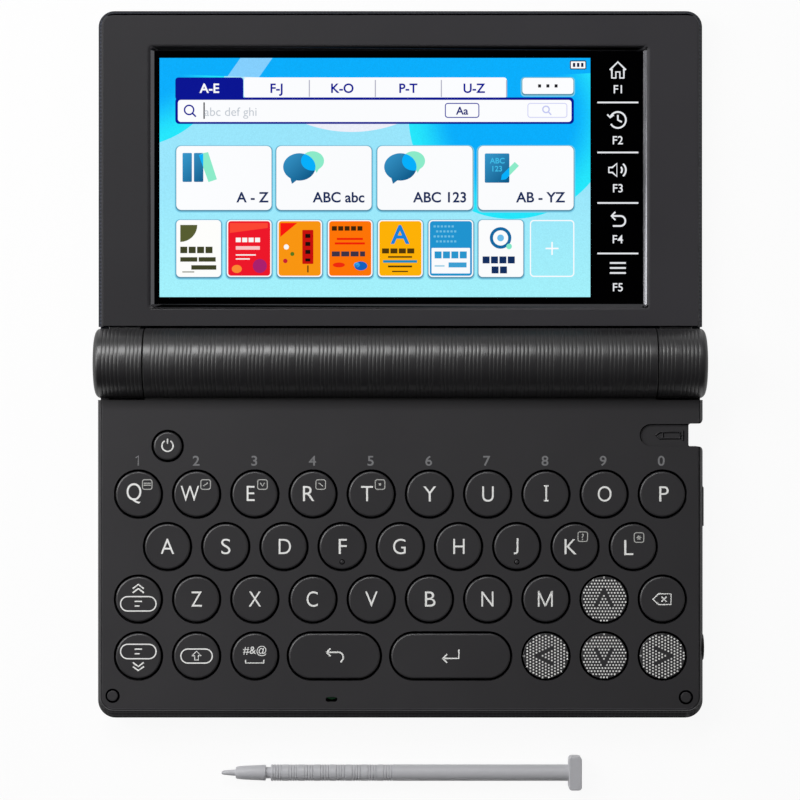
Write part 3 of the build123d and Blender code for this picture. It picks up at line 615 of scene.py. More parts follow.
def build_backlight_group():
    """Colour of a lit picture: a faint grid of cells and a slow fall-off over the display."""
    tree, given, result = new_group(
        "Backlight", {"Colour": ("Color", (1, 1, 1, 1)), "Pitch": ("Float", 0.00012)}, {"Colour": "Color"})
    place = object_place(tree)
    turn = sums(tree, "DIVIDE", 2 * pi, given["Pitch"])
    columns, rows = (sums(tree, "SINE", sums(tree, "MULTIPLY", split(tree, place)[axis], turn)) for axis in (0, 1))
    grid = sums(tree, "MULTIPLY_ADD", sums(tree, "ADD", columns, rows), 0.006, 0.99)
    glow = sums(tree, "MULTIPLY_ADD", noise(tree, place, 12.0, 0.0), 0.05, 0.975)
    tree.links.new(scaled(tree, given["Colour"], sums(tree, "MULTIPLY", grid, glow)), result["Colour"])


def blank_material(name):
    """A new material with a Principled shader."""
    made = bpy.data.materials.new(name)
    made.use_nodes = True
    tree = made.node_tree
    return made, tree, tree.nodes["Principled BSDF"]


def use_group(tree, name, inputs):
    """Place a node group with its own values."""
    return add_node(tree, "ShaderNodeGroup", inputs, node_tree=bpy.data.node_groups[name]).outputs


def plastic(name, base, roughness, grain, contrast, bump, specular):
    """Moulded plastic with a fine grain, its bump in millimetres."""
    made, tree, shader = blank_material(name)
    out = use_group(tree, "Moulded grain", {"Colour": base, "Grain": grain, "Contrast": contrast,
                                            "Roughness": roughness})
    tree.links.new(out["Colour"], shader.inputs["Base Color"])
    tree.links.new(out["Roughness"], shader.inputs["Roughness"])
    shader.inputs["Specular IOR Level"].default_value = specular
    relief = add_node(tree, "ShaderNodeBump", {"Strength": 0.5, "Distance": bump * MM, "Height": out["Height"]})
    tree.links.new(relief.outputs[0], shader.inputs["Normal"])
    return made


def feed(tree, socket, change):
    """Put a change between an input and what feeds it."""
    tree.links.new(change(socket.links[0].from_socket), socket)


def shade_along(name, axis, share_at):
    """Scale a plastic's colour by a share that depends on one object coordinate."""
    tree = bpy.data.materials[name].node_tree
    share = share_at(tree, split(tree, object_place(tree))[axis])
    feed(tree, tree.nodes["Principled BSDF"].inputs["Base Color"], lambda base: scaled(tree, base, share))


def stippled(name, base):
    """Grained plastic with rows of fine raised dots, on the rims, the hollows between the dots painted dark as shade.
    """
    tree = plastic(name, base, 0.6, 4500, 0.08, 0.02, 0.18).node_tree
    dots = use_group(tree, "Stippled rim", {"Pitch": 0.9009 * MM})["Mask"]
    feed(tree, tree.nodes["Principled BSDF"].inputs["Base Color"],
         lambda base_from: mix(tree, dots, scaled(tree, base_from, 0.3), base_from))
    feed(tree, tree.nodes["Bump"].inputs["Height"], lambda grain: sums(tree, "MULTIPLY_ADD", dots, 6.0, grain))


def grooved(name, base, radius):
    """Satin plastic with painted shade down in its grooves, which are also duller."""
    tree = plastic(name, base, 0.35, 4500, 0.06, 0.0015, 1.0).node_tree
    shader = tree.nodes["Principled BSDF"]
    mask = use_group(tree, "Groove shade", {"Axis Y": BARREL_AXIS[0], "Axis Z": BARREL_AXIS[1], "Radius": radius,
                                            "Depth": sizes().groove_depth})["Mask"]
    feed(tree, shader.inputs["Base Color"],
         lambda base_from: mix(tree, mask, base_from, scaled(tree, base_from, 0.3)))
    feed(tree, shader.inputs["Roughness"], lambda rough: sums(tree, "MULTIPLY_ADD", mask, 0.2, rough))


def two_tone(name, strength, low, high, rough_from, rough_share, rough_start, **settings):
    """A material between two colours, its roughness led by a noise."""
    made, tree, shader = blank_material(name)
    place = object_place(tree)
    tree.links.new(mix(tree, strength(tree, place), low, high), shader.inputs["Base Color"])
    rough = sums(tree, "MULTIPLY_ADD", rough_from(tree, place), rough_share, rough_start)
    tree.links.new(rough, shader.inputs["Roughness"])
    for label, value in settings.items():
        shader.inputs[label.replace("_", " ")].default_value = value
    return made


def metal(name, base, roughness=0.3, streak=(900.0, 90.0, 900.0)):
    """Drawn metal with fine streaks."""
    def drawn(tree, place):
        stretched = add_node(tree, "ShaderNodeMapping", {"Vector": place, "Scale": streak}).outputs[0]
        return noise(tree, stretched, 1.0, 3.0)

    dull = tuple(level * 0.72 for level in base[:3]) + (1.0,)
    two_tone(name, drawn, dull, base, drawn, 0.2, roughness - 0.1, Metallic=1.0)


def glass_material():
    """Black glass over the display, with a trace of smudge in its gloss."""
    def smudge(tree, place):
        return noise(tree, place, 60.0, 4.0)

    made = two_tone("Panel glass", smudge, tone(0, 0, 0), tone(2, 2, 3), smudge, 0.08, 0.16)
    made.node_tree.nodes["Principled BSDF"].inputs["Specular IOR Level"].default_value = 0.015
    return made


def board_material():
    """Green laminate with copper tracks under the lacquer."""
    made, tree, shader = blank_material("Board laminate")
    place = object_place(tree)
    bricks = add_node(tree, "ShaderNodeTexBrick", {"Vector": place, "Scale": 260.0, "Mortar Size": 0.09,
                                                   "Color1": tone(18, 74, 46), "Color2": tone(22, 84, 52),
                                                   "Mortar": tone(38, 112, 62)}).outputs["Color"]
    tree.links.new(bricks, shader.inputs["Base Color"])
    tree.links.new(sums(tree, "MULTIPLY_ADD", noise(tree, place, 900.0), 0.2, 0.25), shader.inputs["Roughness"])
    return made


def cell_material():
    """Plain two-tone jacket of a dry cell: its far third in copper, the rest dark."""
    def band(tree, place):
        along = sums(tree, "PINGPONG", sums(tree, "ADD", split(tree, place)[0], 0.2), 0.0255)
        return sums(tree, "GREATER_THAN", along, 0.017)

    return two_tone("Cell jacket", band, tone(34, 36, 40), tone(176, 118, 62),
                    lambda tree, place: noise(tree, place, 700.0), 0.15, 0.22, Metallic=0.6)


def lit(name, base, other=None, start=(0, 0), end=(1, 1)):
    """A colour of the lit picture under glass, or a blend to another one between two places."""
    made, tree, shader = blank_material(name)
    if other:
        run = Vector(end) - Vector(start)
        slope = run / run.length_squared
        along = add_node(tree, "ShaderNodeVectorMath", {0: object_place(tree), 1: (*slope, 0)},
                         operation="DOT_PRODUCT").outputs["Value"]
        base = mix(tree, sums(tree, "SUBTRACT", along, slope.dot(Vector(start))), base, other)
    return backlit(made, tree, shader, base)


def backlit(made, tree, shader, base):
    """Light a colour from behind: in full to the eye, and faint on the housings around it."""
    seen = sums(tree, "MULTIPLY_ADD", add_node(tree, "ShaderNodeLightPath").outputs["Is Camera Ray"], 0.88, 0.12)
    shown = use_group(tree, "Backlight", {"Colour": base})["Colour"]
    tree.links.new(scaled(tree, shown, seen), shader.inputs["Emission Color"])
    shader.inputs["Base Color"].default_value = (0.002, 0.002, 0.002, 1)
    shader.inputs["Emission Strength"].default_value = bpy.context.scene.dictionary_screen.light
    shader.inputs["Roughness"].default_value = 0.3
    shader.inputs["Specular IOR Level"].default_value = 0.02
    return made


# ---------------------------------------------------------------- pieces

# Width of each capital against its height, and its place from its key's centre in millimetres.
LETTER_FIT = {
    "Q": (0.816, -1.05, 0.71), "W": (0.8, -1.6, 0.3), "E": (0.915, -1.0, 0.3), "R": (0.99, -1.05, 0.26),
    "T": (0.945, -1.02, 0.26), "Y": (0.97, 0.06, 0.18), "U": (0.886, 0.06, 0.18), "I": (0.8, 0.06, 0.18),
    "O": (0.85, 0.1, 0.18), "P": (0.995, 0.38, 0.18), "A": (0.915, 0.0, 0.18), "S": (1.09, 0.04, 0.18),
    "D": (0.88, 0.22, 0.18), "F": (1.007, 0.15, 0.18), "G": (0.915, -0.23, 0.18), "H": (0.886, 0.08, 0.18),
    "J": (1, -0.22, 0.1), "K": (0.945, -1.09, 0.11), "L": (1.01, -1.1, -0.08), "Z": (0.79, 0.0, 0.18),
    "X": (0.797, 0.03, 0.18), "C": (0.822, -0.19, 0.18), "V": (0.938, 0.03, 0.18), "B": (1.016, 0.18, 0.18),
    "N": (0.86, -0.07, 0.18), "M": (1, -0.13, 0.11),
}
# The sign in the small box on a key, and the box's place from the key's centre in millimetres.
SMALL_BOXES = {"Q": ("lines", 2.16, 2.33), "W": ("rise", 2.2, 2.33), "E": ("check", 1.86, 2.33),
               "R": ("fall", 1.86, 2.33), "T": ("dot", 2.13, 2.33), "K": ("?", 1.86, 2.43), "L": ("star", 1.38, 2.21)}
BOX_SIGNS = {
    "lines": [[(-0.85, 0.3), (0.85, 0.3)], [(-0.85, -0.2), (0.85, -0.2)]],
    "rise": [[(-0.55, -0.4), (0.55, 0.4)]],
    "fall": [[(-0.55, 0.4), (0.55, -0.4)]],
    "check": [[(-0.55, 0.4), (0, -0.42), (0.55, 0.4)]],
    "star": [[(0.55 * side * cos(radians(turn)), 0.55 * side * sin(radians(turn))) for side in (1, -1)]
             for turn in (0, 60, 120)],
    "dot": [arc(0, 0, 0.14, 0, 360, 8)],
}


def page_sign(turn):
    """Chevrons that point away from a pill with a page in it: up for 1, down for -1."""
    chevrons = [[(-1.35, -0.9), (0, 0.1), (1.35, -0.9)], [(-1.35, 0.1), (0, 1.1), (1.35, 0.1)]]
    page = [[(-0.9, 0.55), (0.9, 0.55)], [(-0.9, -0.55), (0.3, -0.55)]]
    return (("pen", 2.45 * turn, [[(u, v * turn) for u, v in line] for line in chevrons], 0.42),
            ("pill", -1.1 * turn, 8.9, 3.8), ("pen", -1.1 * turn, page, 0.36))


# Signs in place of words on the keys with a function: kind, height over the key's centre, and the kind's own values.
SIGNS = {
    "key_previous": page_sign(1),
    "key_next": page_sign(-1),
    "key_shift": (("pill", 0, 7.9, 3.7),
                  ("pen", 0, [[(-0.45, -0.95), (-0.45, 0.05), (-1.1, 0.05), (0, 1.15), (1.1, 0.05), (0.45, 0.05),
                               (0.45, -0.95), (-0.45, -0.95)]], 0.3)),
    "key_symbol": (("print", 1.5, "#&@", 1.9), ("pen", 0, [[(-2.2, -0.9), (-2.2, -1.7), (2.2, -1.7), (2.2, -0.9)]],
                                                0.36)),
    "key_exit": (("pen", -0.3, [[(1.8, -1.2)] + arc(1.0, 0, 1.2, -60, 90, 10) + [(-1.9, 1.2)],
                                [(-0.9, 2.1), (-1.9, 1.2), (-0.9, 0.3)]], 0.42),),
    "key_enter": (("pen", 0, [[(2.0, 1.6), (2.0, -0.6), (-1.9, -0.6)], [(-0.9, 0.4), (-1.9, -0.6), (-0.9, -1.6)]],
                   0.42),),
    "key_delete": (("pen", 0, [[(-0.9, 1.3), (2.1, 1.3), (2.1, -1.3), (-0.9, -1.3), (-2.3, 0), (-0.9, 1.3)],
                               [(-0.2, 0.6), (1.0, -0.6)], [(-0.2, -0.6), (1.0, 0.6)]], 0.36),),
    "key_power": (("pen", 0.05, [arc(0, 0, 1.36, 120, 420, 32), [(0, 0.5), (0, 1.75)]], 0.36),),
}
BARREL_AXIS = (0.0, AXIS_Z)
HAIR = 0.1 * MM
LAYER = 0.03 * MM
KEY_R = 5.5 * MM
POWER_KEY_R = 3.44 * MM
ARROW_ROUND = 0.18 * MM
ARROWS = {"key_left": 0, "key_down": 90, "key_right": 180, "key_up": -90}
BUMPER_SPOTS = ((-69.75 * MM, -80.6 * MM), (69.2 * MM, -80.95 * MM))
RECESS_FLOOR = 9.6 * MM
# Colour, roughness, grain, contrast of the grain, its height in millimetres, and specular level.
PLASTICS = {
    "Deck plastic": ("deck", 0.55, 5200, 0.12, 0.03, 0.25), "Bezel plastic": ("bezel", 0.5, 5200, 0.08, 0.02, 0.25),
    # Lighter copies of the deck plastic: a painted highlight on the deck's front edge.
    "Deck edge": ((72, 71, 74), 0.5, 5200, 0.1, 0.02, 0.25),
    "Deck edge, steep": ((92, 91, 94), 0.5, 5200, 0.1, 0.02, 0.25),
    "Door plastic": ("barrel", 0.5, 4500, 0.1, 0.02, 0.35), "Key plastic": ("key", 0.36, 5200, 0.08, 0.008, 0.6),
    "Rubber": ("rubber", 0.75, 3500, 0.15, 0.02, 0.2), "Inner plastic": ("inner", 0.6, 4500, 0.1, 0.02, 0.35),
    "Parting shadow": ((8, 8, 9), 0.9, 4500, 0.1, 0.02, 0.05),
    "Contact shadow": ((2, 2, 3), 0.95, 4500, 0.1, 0.02, 0.0),
    "Stylus plastic": ("stylus", 0.42, 3000, 0.04, 0.01, 0.35), "Legend ink": ("ink", 0.6, 2500, 0.05, 0.004, 0.2),
    "Small print": ((178, 178, 175), 0.6, 2500, 0.05, 0.004, 0.2),
    "Digit ink": ("digit", 0.6, 2500, 0.05, 0.004, 0.2),
}


def finish(name):
    """A colour from the settings by its name, or from red, green and blue."""
    return getattr(bpy.context.scene.dictionary_finish, name) if isinstance(name, str) else tone(*name)


def sizes():
    return bpy.context.scene.dictionary_sizes


class PieceOperator(bpy.types.Operator):
    """Base of the operators that make pieces."""
    bl_options = {"REGISTER", "UNDO"}


class DICT_OT_materials(PieceOperator):
    """Make the finishes that the pieces share"""
    bl_idname = "dictionary.materials"
    bl_label = "Finishes"

    def execute(self, context):
        build_grain_group()
        build_stipple_group()
        build_groove_group()
        build_backlight_group()
        for name, (base, *values) in PLASTICS.items():
            plastic(name, finish(base), *values)
        # The last of these is a darker copy of the rim plastic: painted shade for the lid's rim on its far side.
        for name, base in (("Rim plastic", "rim"), ("Tray plastic", "tray"), ("Far rim plastic", (36, 38, 47))):
            stippled(name, finish(base))
        grooved("Barrel plastic", finish("barrel"), BARREL_R)
        grooved("Knuckle plastic", finish("barrel"), KNUCKLE_R)
        metal("Window trim", tone(128, 128, 132), 0.16, (60.0, 60.0, 60.0))
        metal("Steel", tone(176, 176, 178))
        metal("Spring steel", tone(196, 190, 172), 0.25)
        metal("Speaker metal", tone(120, 121, 124), 0.45, (400.0, 400.0, 60.0))
        left, right = -73 * MM, 73 * MM
        # Painted light fall-off: the bezel is coloured darker on the left and lighter on the right, and the deck a
        # little darker to the right.
        shade_along("Bezel plastic", 0, lambda tree, x: ramp(tree, x, left, right, 0.76, 1.3))
        shade_along("Deck plastic", 0, lambda tree, x: ramp(tree, x, left, right, 1.0, 0.88))
        # The deck runs down beside the barrel: painted shade darkens it towards there, to black at its end.
        black, dark, clear = -8.5 * MM, -9.1 * MM, -11.5 * MM
        shade_along("Deck plastic", 1, lambda tree, y: ramp(tree, y, dark, clear, 0.6, 1.0))
        shade_along("Deck plastic", 1, lambda tree, y: ramp(tree, y, black, dark))
        return {"FINISHED"}


class DICT_OT_inner_parts(PieceOperator):
    """Give the parts inside the housings their finishes"""
    bl_idname = "dictionary.inner_parts"
    bl_label = "Inner parts"

    def execute(self, context):
        plain = {"battery_cells": cell_material(), "circuit_board": board_material(),
                 "touch_panel": glass_material(), "battery_contacts": "Spring steel", "hinge_pins": "Steel",
                 "speaker": "Speaker metal", "key_dome_sheet": "Rubber", "stylus_silo": "Inner plastic",
                 "display_module": "Inner plastic"}
        for node, made in plain.items():
            coat(NODES[node], made)
        return {"FINISHED"}


class DICT_OT_housing(PieceOperator):
    """Finish the deck, tray, bezel and lid back, with painted shadow along the parting lines between them and round
    the key holes, a painted highlight on the deck's front edge and painted shade on the lid's far rim
    """
    bl_idname = "dictionary.housing"
    bl_label = "Housing"

    def execute(self, context):
        deck = smooth_copy("base_top_case", "deck_shell", "base", "Deck plastic")
        smooth_copy("base_bottom_case", "tray_shell", "base", "Tray plastic")
        bezel = smooth_copy("lid_bezel", "bezel_frame", "lid", "Bezel plastic")
        lid = smooth_copy("lid_back_cover", "lid_shell", "lid", "Rim plastic")
        smooth_copy("battery_cover", "battery_door_shell", "battery_door", "Door plastic")
        self.bezel_edges(bezel)
        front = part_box("base_top_case")[0].y
        # Painted highlight: the deck's front rounding takes the lighter deck plastics, the lightest where it is
        # steepest.
        for name, steepest in (("Deck edge", 0.985), ("Deck edge, steep", 0.7)):
            paint_faces(deck, name, lambda face: centre(face).y < front + MM and 0.2 < face.normal.z < steepest
                        and centre(face).z > DECK_TOP - MM)
        # Painted shade: the lid's faces turned to the far side take the darker rim plastic.
        paint_faces(lid, "Far rim plastic", lambda face: face.normal.y > 0.3)
        self.close_seam(lid)
        self.hole_edges(deck)
        return {"FINISHED"}

    def bezel_edges(self, bezel):
        """Rounding inside the window, and shadow along the edges by the barrel and at the far side."""
        low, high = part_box("lid_bezel")
        near, far = low.y, high.y

        def on_top(edge):
            return abs(centre(edge).z - high.z) < 0.01 * MM

        edit(bezel)
        bevel_edges(lambda edge: on_top(edge) and abs(centre(edge).x) < 67 * MM and folded(edge, 0.3)
                    and near + 1.5 * MM < centre(edge).y < far - 3 * MM, 0.5 * MM, 4)
        bevel_edges(lambda edge: on_top(edge) and centre(edge).y < near + 0.05 * MM, 0.22 * MM, 1)
        leave()
        paint_faces(bezel, "Window trim", lambda face: 0.6 < face.normal.z < 0.8
                    and abs(centre(face).x) < 66 * MM and near + MM < centre(face).y < far - 3 * MM)
        paint_faces(bezel, "Contact shadow", lambda face: face.normal.y > 0.2
                    and centre(face).y > far - 0.6 * MM)
        paint_faces(bezel, "Contact shadow", lambda face: face.normal.y < -0.5
                    and centre(face).y < near + 0.3 * MM)

    def close_seam(self, lid):
        """Carry the lips that close the seams between knuckles and barrel a little further in."""
        edit(lid)
        for side in (-1, 1):
            pick("verts", lambda v: abs(v.co.x * side - 62 * MM) < 0.02 * MM and 6.9 * MM < v.co.y < 9.3 * MM
                 and 1.2 * MM < v.co.z < 3.1 * MM)
            bpy.ops.transform.translate(value=(-0.5 * MM * side, 0, 0))
        leave()

    def hole_edges(self, deck):
        """A small chamfer, in shadow, round every key's hole."""
        spots = [(middle(name), (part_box(name)[1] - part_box(name)[0]) / 2) for name in KEYS]

        def at_hole(edge):
            spot = centre(edge)
            return abs(spot.z - DECK_TOP) <= 0.01 * MM and folded(edge, 1) and any(
                abs(spot.x - at.x) < half.x and abs(spot.y - at.y) < half.y for at, half in spots)

        edit(deck)
        bevel_edges(at_hole, 0.12 * MM, 1)
        leave()
        paint_faces(deck, "Contact shadow", lambda face: 0.4 < face.normal.z < 0.9
                    and centre(face).z > DECK_TOP - 0.13 * MM)


class DICT_OT_barrel(PieceOperator):
    """Turn the ribbed barrel and its two knuckles"""
    bl_idname = "dictionary.barrel"
    bl_label = "Barrel and knuckles"
    bore = 7.35 * MM

    def execute(self, context):
        self.make_barrel()
        self.make_knuckles()
        return {"FINISHED"}

    def make_barrel(self):
        """The centre part, open below for the door, with its end walls and the web to the deck."""
        cut = sizes()
        cell = cut.groove_pitch * cut.groove_count + cut.group_land
        start = -(cell * cut.group_count - cut.group_land) / 2
        line = grooved_line("barrel_shell", start, BARREL_R, cut.groove_count, cut.group_land, cut.group_count)
        end = BARREL_HALF
        extend(line, 1, [(end - HAIR, BARREL_R, 0), (end, BARREL_R - HAIR, 0), (end, self.bore, 0),
                         (-end, self.bore, 0), (-end, BARREL_R - HAIR, 0), (HAIR - end, BARREL_R, 0),
                         (start, BARREL_R, 0)])
        shell = turned(merged(line), BARREL_AXIS, radians(206), 88, radians(-6))
        edit(shell)
        for toward in (1, -1):
            pick("edges", lambda edge: edge.is_boundary and centre(edge).y * toward > 0)
            bpy.ops.mesh.edge_face_add()
        leave()
        walls = [self.end_wall(side * (end - HAIR), side * (end - 4.4 * MM)) for side in (-1, 1)]
        web = box("barrel_web", (-end, -14 * MM, 6.4 * MM), (end, -7.6 * MM, 8.7 * MM), 0.15 * MM)
        barrel = tidy_mesh(join("barrel_shell", [shell, *walls, web]), 40)
        dress(barrel, "Barrel plastic", "base")
        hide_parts("barrel_cover")

    def end_wall(self, outer, inner):
        """A wall that closes one end of the barrel, with a raised ring round the pin."""
        radius = self.bore + HAIR
        bpy.ops.mesh.primitive_cylinder_add(vertices=64, radius=radius, depth=abs(outer - inner),
                                            location=((outer + inner) / 2, *BARREL_AXIS), rotation=(0, pi / 2, 0))
        edit(settle(bpy.context.object))
        inward = -1 if outer > 0 else 1
        pick("faces", lambda face: face.normal.x * inward > 0.9)
        bpy.ops.mesh.inset(thickness=radius * 0.5)
        bpy.ops.mesh.extrude_region_move(TRANSFORM_OT_translate={"value": (inward * 0.5 * MM, 0, 0)})
        return leave()

    def make_knuckles(self):
        """The right knuckle: two groups of grooves, a domed end and a tongue into the lid; and its mirror image."""
        start, land, near_count = KNUCKLE_NEAR + 0.4 * MM, 1.09 * MM, 4
        first = grooved_line("ribs_near", start, KNUCKLE_R, near_count, land, 1)
        second = grooved_line("ribs_far", start + near_count * sizes().groove_pitch + land, KNUCKLE_R, 5, 0, 1)
        dome = [(-1.35, 0), (-1.2, 0.03), (-1.0, 0.1), (-0.62, 0.4), (-0.38, 0.8), (-0.2, 1.4), (-0.1, 2.4),
                (-0.05, 4.4), (-0.02, 7.4)]
        pin_reach, pin_bore = 72.3 * MM, 2.55 * MM
        extend(second, 1, [(KNUCKLE_FAR + x * MM, KNUCKLE_R - drop * MM, 0) for x, drop in dome]
               + [(KNUCKLE_FAR, 0, 0)])
        extend(first, -1, [(KNUCKLE_NEAR + HAIR, KNUCKLE_R, 0), (KNUCKLE_NEAR, KNUCKLE_R - HAIR, 0),
                           (KNUCKLE_NEAR, pin_bore, 0), (pin_reach, pin_bore, 0), (pin_reach, 0, 0)])
        line = merged(join("knuckle_right", [first, second]))
        right = tidy_mesh(turned(line, BARREL_AXIS, 2 * pi, 160), 40)
        tongue = box("tongue", (63.4 * MM, 4 * MM, 1.5 * MM), (71.2 * MM, 20 * MM, PANEL_TOP - HAIR), 0.2 * MM)
        right = join("knuckle_right", [right, tongue])
        left = copy_of(right, "knuckle_left")
        left.scale.x = -1
        settle(left)
        for piece, side in ((left, "left"), (right, "right")):
            tidy_mesh(piece, 40)
            dress(piece, "Knuckle plastic", "lid")
            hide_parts(f"hinge_knuckle_{side}")


class DICT_OT_keys(PieceOperator):
    """Model one key cap with its retaining flange, and fit a copy at every key"""
    bl_idname = "dictionary.keys"
    bl_label = "Keys"

    def execute(self, context):
        pattern = self.cap("cap", (0, 0), KEY_R, 0, *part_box("key_a"))
        for name in KEYS:
            low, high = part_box(name)
            spot = (low + high) / 2
            width = high.x - low.x
            if width > 20 * MM:
                cap = self.cap(name, spot, KEY_R, width - 1.1 * MM - 2 * KEY_R, low, high)
            elif width < 10 * MM:
                cap = self.cap(name, spot, POWER_KEY_R, 0, low, high)
            elif name in ARROWS:
                cap = self.cap(name, spot, KEY_R, 0, low, high, ARROW_ROUND)
            else:
                cap = copy_of(pattern, name, (spot.x, spot.y, 0))
            marked = name in ("key_f", "key_j")
            if marked:
                cap = join(name, [cap, self.bump(spot)])
            cap.name = name.replace("key", "cap")
            tidy_mesh(cap, 40)
            dress(cap, "Key plastic", name)
            paint_faces(cap, "Contact shadow", lambda face: centre(face).z < 9.6 * MM
                        or (centre(face).z < 10.2 * MM and face.normal.z < 0.5))
            if marked:
                paint_faces(cap, "Parting shadow", lambda face: at_height(face, KEY_TOP + 0.01 * MM, 0.002 * MM))
            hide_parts(name)
        bpy.data.objects.remove(pattern)
        return {"FINISHED"}

    def cap(self, name, spot, radius, straight, low, high, rounding=0.0):
        """A cap with a softened rim on its flange; a straight stretch makes it oval."""
        rounding = rounding or sizes().key_round
        body = disc(name, (0, 0), radius, 8.55 * MM, KEY_TOP, rounding, 72, 5)
        if straight:
            edit(body)
            bpy.ops.mesh.bisect(plane_co=(0, 0, 0), plane_no=(1, 0, 0))
            for side in (-1, 1):
                pick("verts", lambda v: v.co.x * side > 0.01 * MM)
                bpy.ops.transform.translate(value=(side * straight / 2, 0, 0))
            leave()
        half = (high - low) / 2
        flange = box("flange", (-half.x, -half.y, 7.9 * MM), (half.x, half.y, 8.65 * MM), 0.15 * MM)
        whole = join(name, [body, flange])
        whole.location = (spot[0], spot[1], 0)
        return settle(whole)

    def bump(self, spot):
        """The mark that a finger feels on a home key, a small dome in a ring that the keys' step paints dark, as
        shadow.
        """
        place = (spot.x, spot.y - 3.7 * MM)
        ring = disc("ring", place, 0.66 * MM, KEY_TOP - 0.1 * MM, KEY_TOP + 0.01 * MM, sides=24)
        dome = disc("dome", place, 0.44 * MM, KEY_TOP - 0.1 * MM, KEY_TOP + 0.12 * MM, 0.18 * MM, 24, 4)
        return join("mark", [ring, dome])


class DICT_OT_legends(PieceOperator):
    """Print the letters and signs on the keys"""
    bl_idname = "dictionary.legends"
    bl_label = "Legends"

    def execute(self, context):
        self.top = KEY_TOP + sizes().ink
        for name in LETTERS:
            self.letter(name)
        for name, rows in SIGNS.items():
            x, y, _ = middle(name)
            parts = [getattr(self, kind)(x, y + up * MM, *values) for kind, up, *values in rows]
            dress(join(name.replace("key", "legend"), parts), "Legend ink", name)
        return {"FINISHED"}

    def letter(self, name):
        """A key's capital, with its small box where it has one."""
        x, y, _ = middle(name)
        capital = name[-1].upper()
        narrow, aside, up = LETTER_FIT[capital]
        parts = [self.glyph(capital, x + aside * MM, y + up * MM, narrow)]
        if capital in SMALL_BOXES:
            kind, box_x, box_y = SMALL_BOXES[capital]
            parts += self.small_box(kind, x + box_x * MM, y + box_y * MM)
        made = join(name.replace("key", "legend"), parts)
        dress(made, "Legend ink", name)
        if capital in SMALL_BOXES:
            left, low = x + (box_x - 1.4) * MM, y + (box_y - 1.4) * MM
            paint_faces(made, "Small print", lambda face: centre(face).x > left and centre(face).y > low)

    def glyph(self, capital, x, y, narrow):
        """A capital; the I has serifs, and the J and M, drawn by pen, stand on the line."""
        height = sizes().letter * (1.11 if capital == "Q" else 1)
        pen = 0.44 * MM
        half = height / 2 - pen / 2
        if capital == "J":
            stem = x + 0.42 * MM
            hook = [(stem, y + height / 2), (stem, y - half + 0.75 * MM)]
            hook += arc(x - 0.2 * MM, y - half + 0.62 * MM, 0.62 * MM, -10, -120, 8)
            return strokes("letter", [hook], 0.5 * MM, self.top)
        if capital == "M":
            foot, side = height / 2 - 0.07 * MM, 1.6 * MM
            lines = [[(-side, -foot), (-side, foot)], [(-side, half), (0, -half)],
                     [(0, -half), (side, half)], [(side, foot), (side, -foot)]]
            return strokes("letter", moved(lines, x, y), pen, self.top)
        made = text("letter", capital, x, y, self.top, height, bold=-0.004, narrow=narrow)
        if capital != "I":
            return made
        reach = height / 2 - 0.2 * MM
        bars = [[(-0.56 * MM, end), (0.56 * MM, end)] for end in (-reach, reach)]
        return join("letter", [made, strokes("serifs", moved(bars, x, y), 0.38 * MM, self.top)])

    def small_box(self, kind, x, y):
        """The small rounded box beside a letter, with its sign."""
        half = 1.27 * MM
        frame_of = plate("box", (x - half, x + half), (y - half, y + half), self.top, LAYER, 0.6 * MM, 0.22 * MM)
        if kind == "?":
            return [frame_of, text("sign", kind, x, y, self.top, 1.6 * MM, bold=0.01)]
        return [frame_of, self.pen(x, y, BOX_SIGNS[kind], 0.42 if kind == "dot" else 0.3)]

    def pen(self, x, y, lines, width):
        return strokes("pen", moved(lines, x, y, MM), width * MM, self.top)

    def pill(self, x, y, width, height):
        across, up = width * MM / 2, height * MM / 2
        return plate("pill", (x - across, x + across), (y - up, y + up), self.top, LAYER, up * 0.98, 0.3 * MM)

    def print(self, x, y, words, height):
        return text("print", words, x, y, self.top, height * MM)


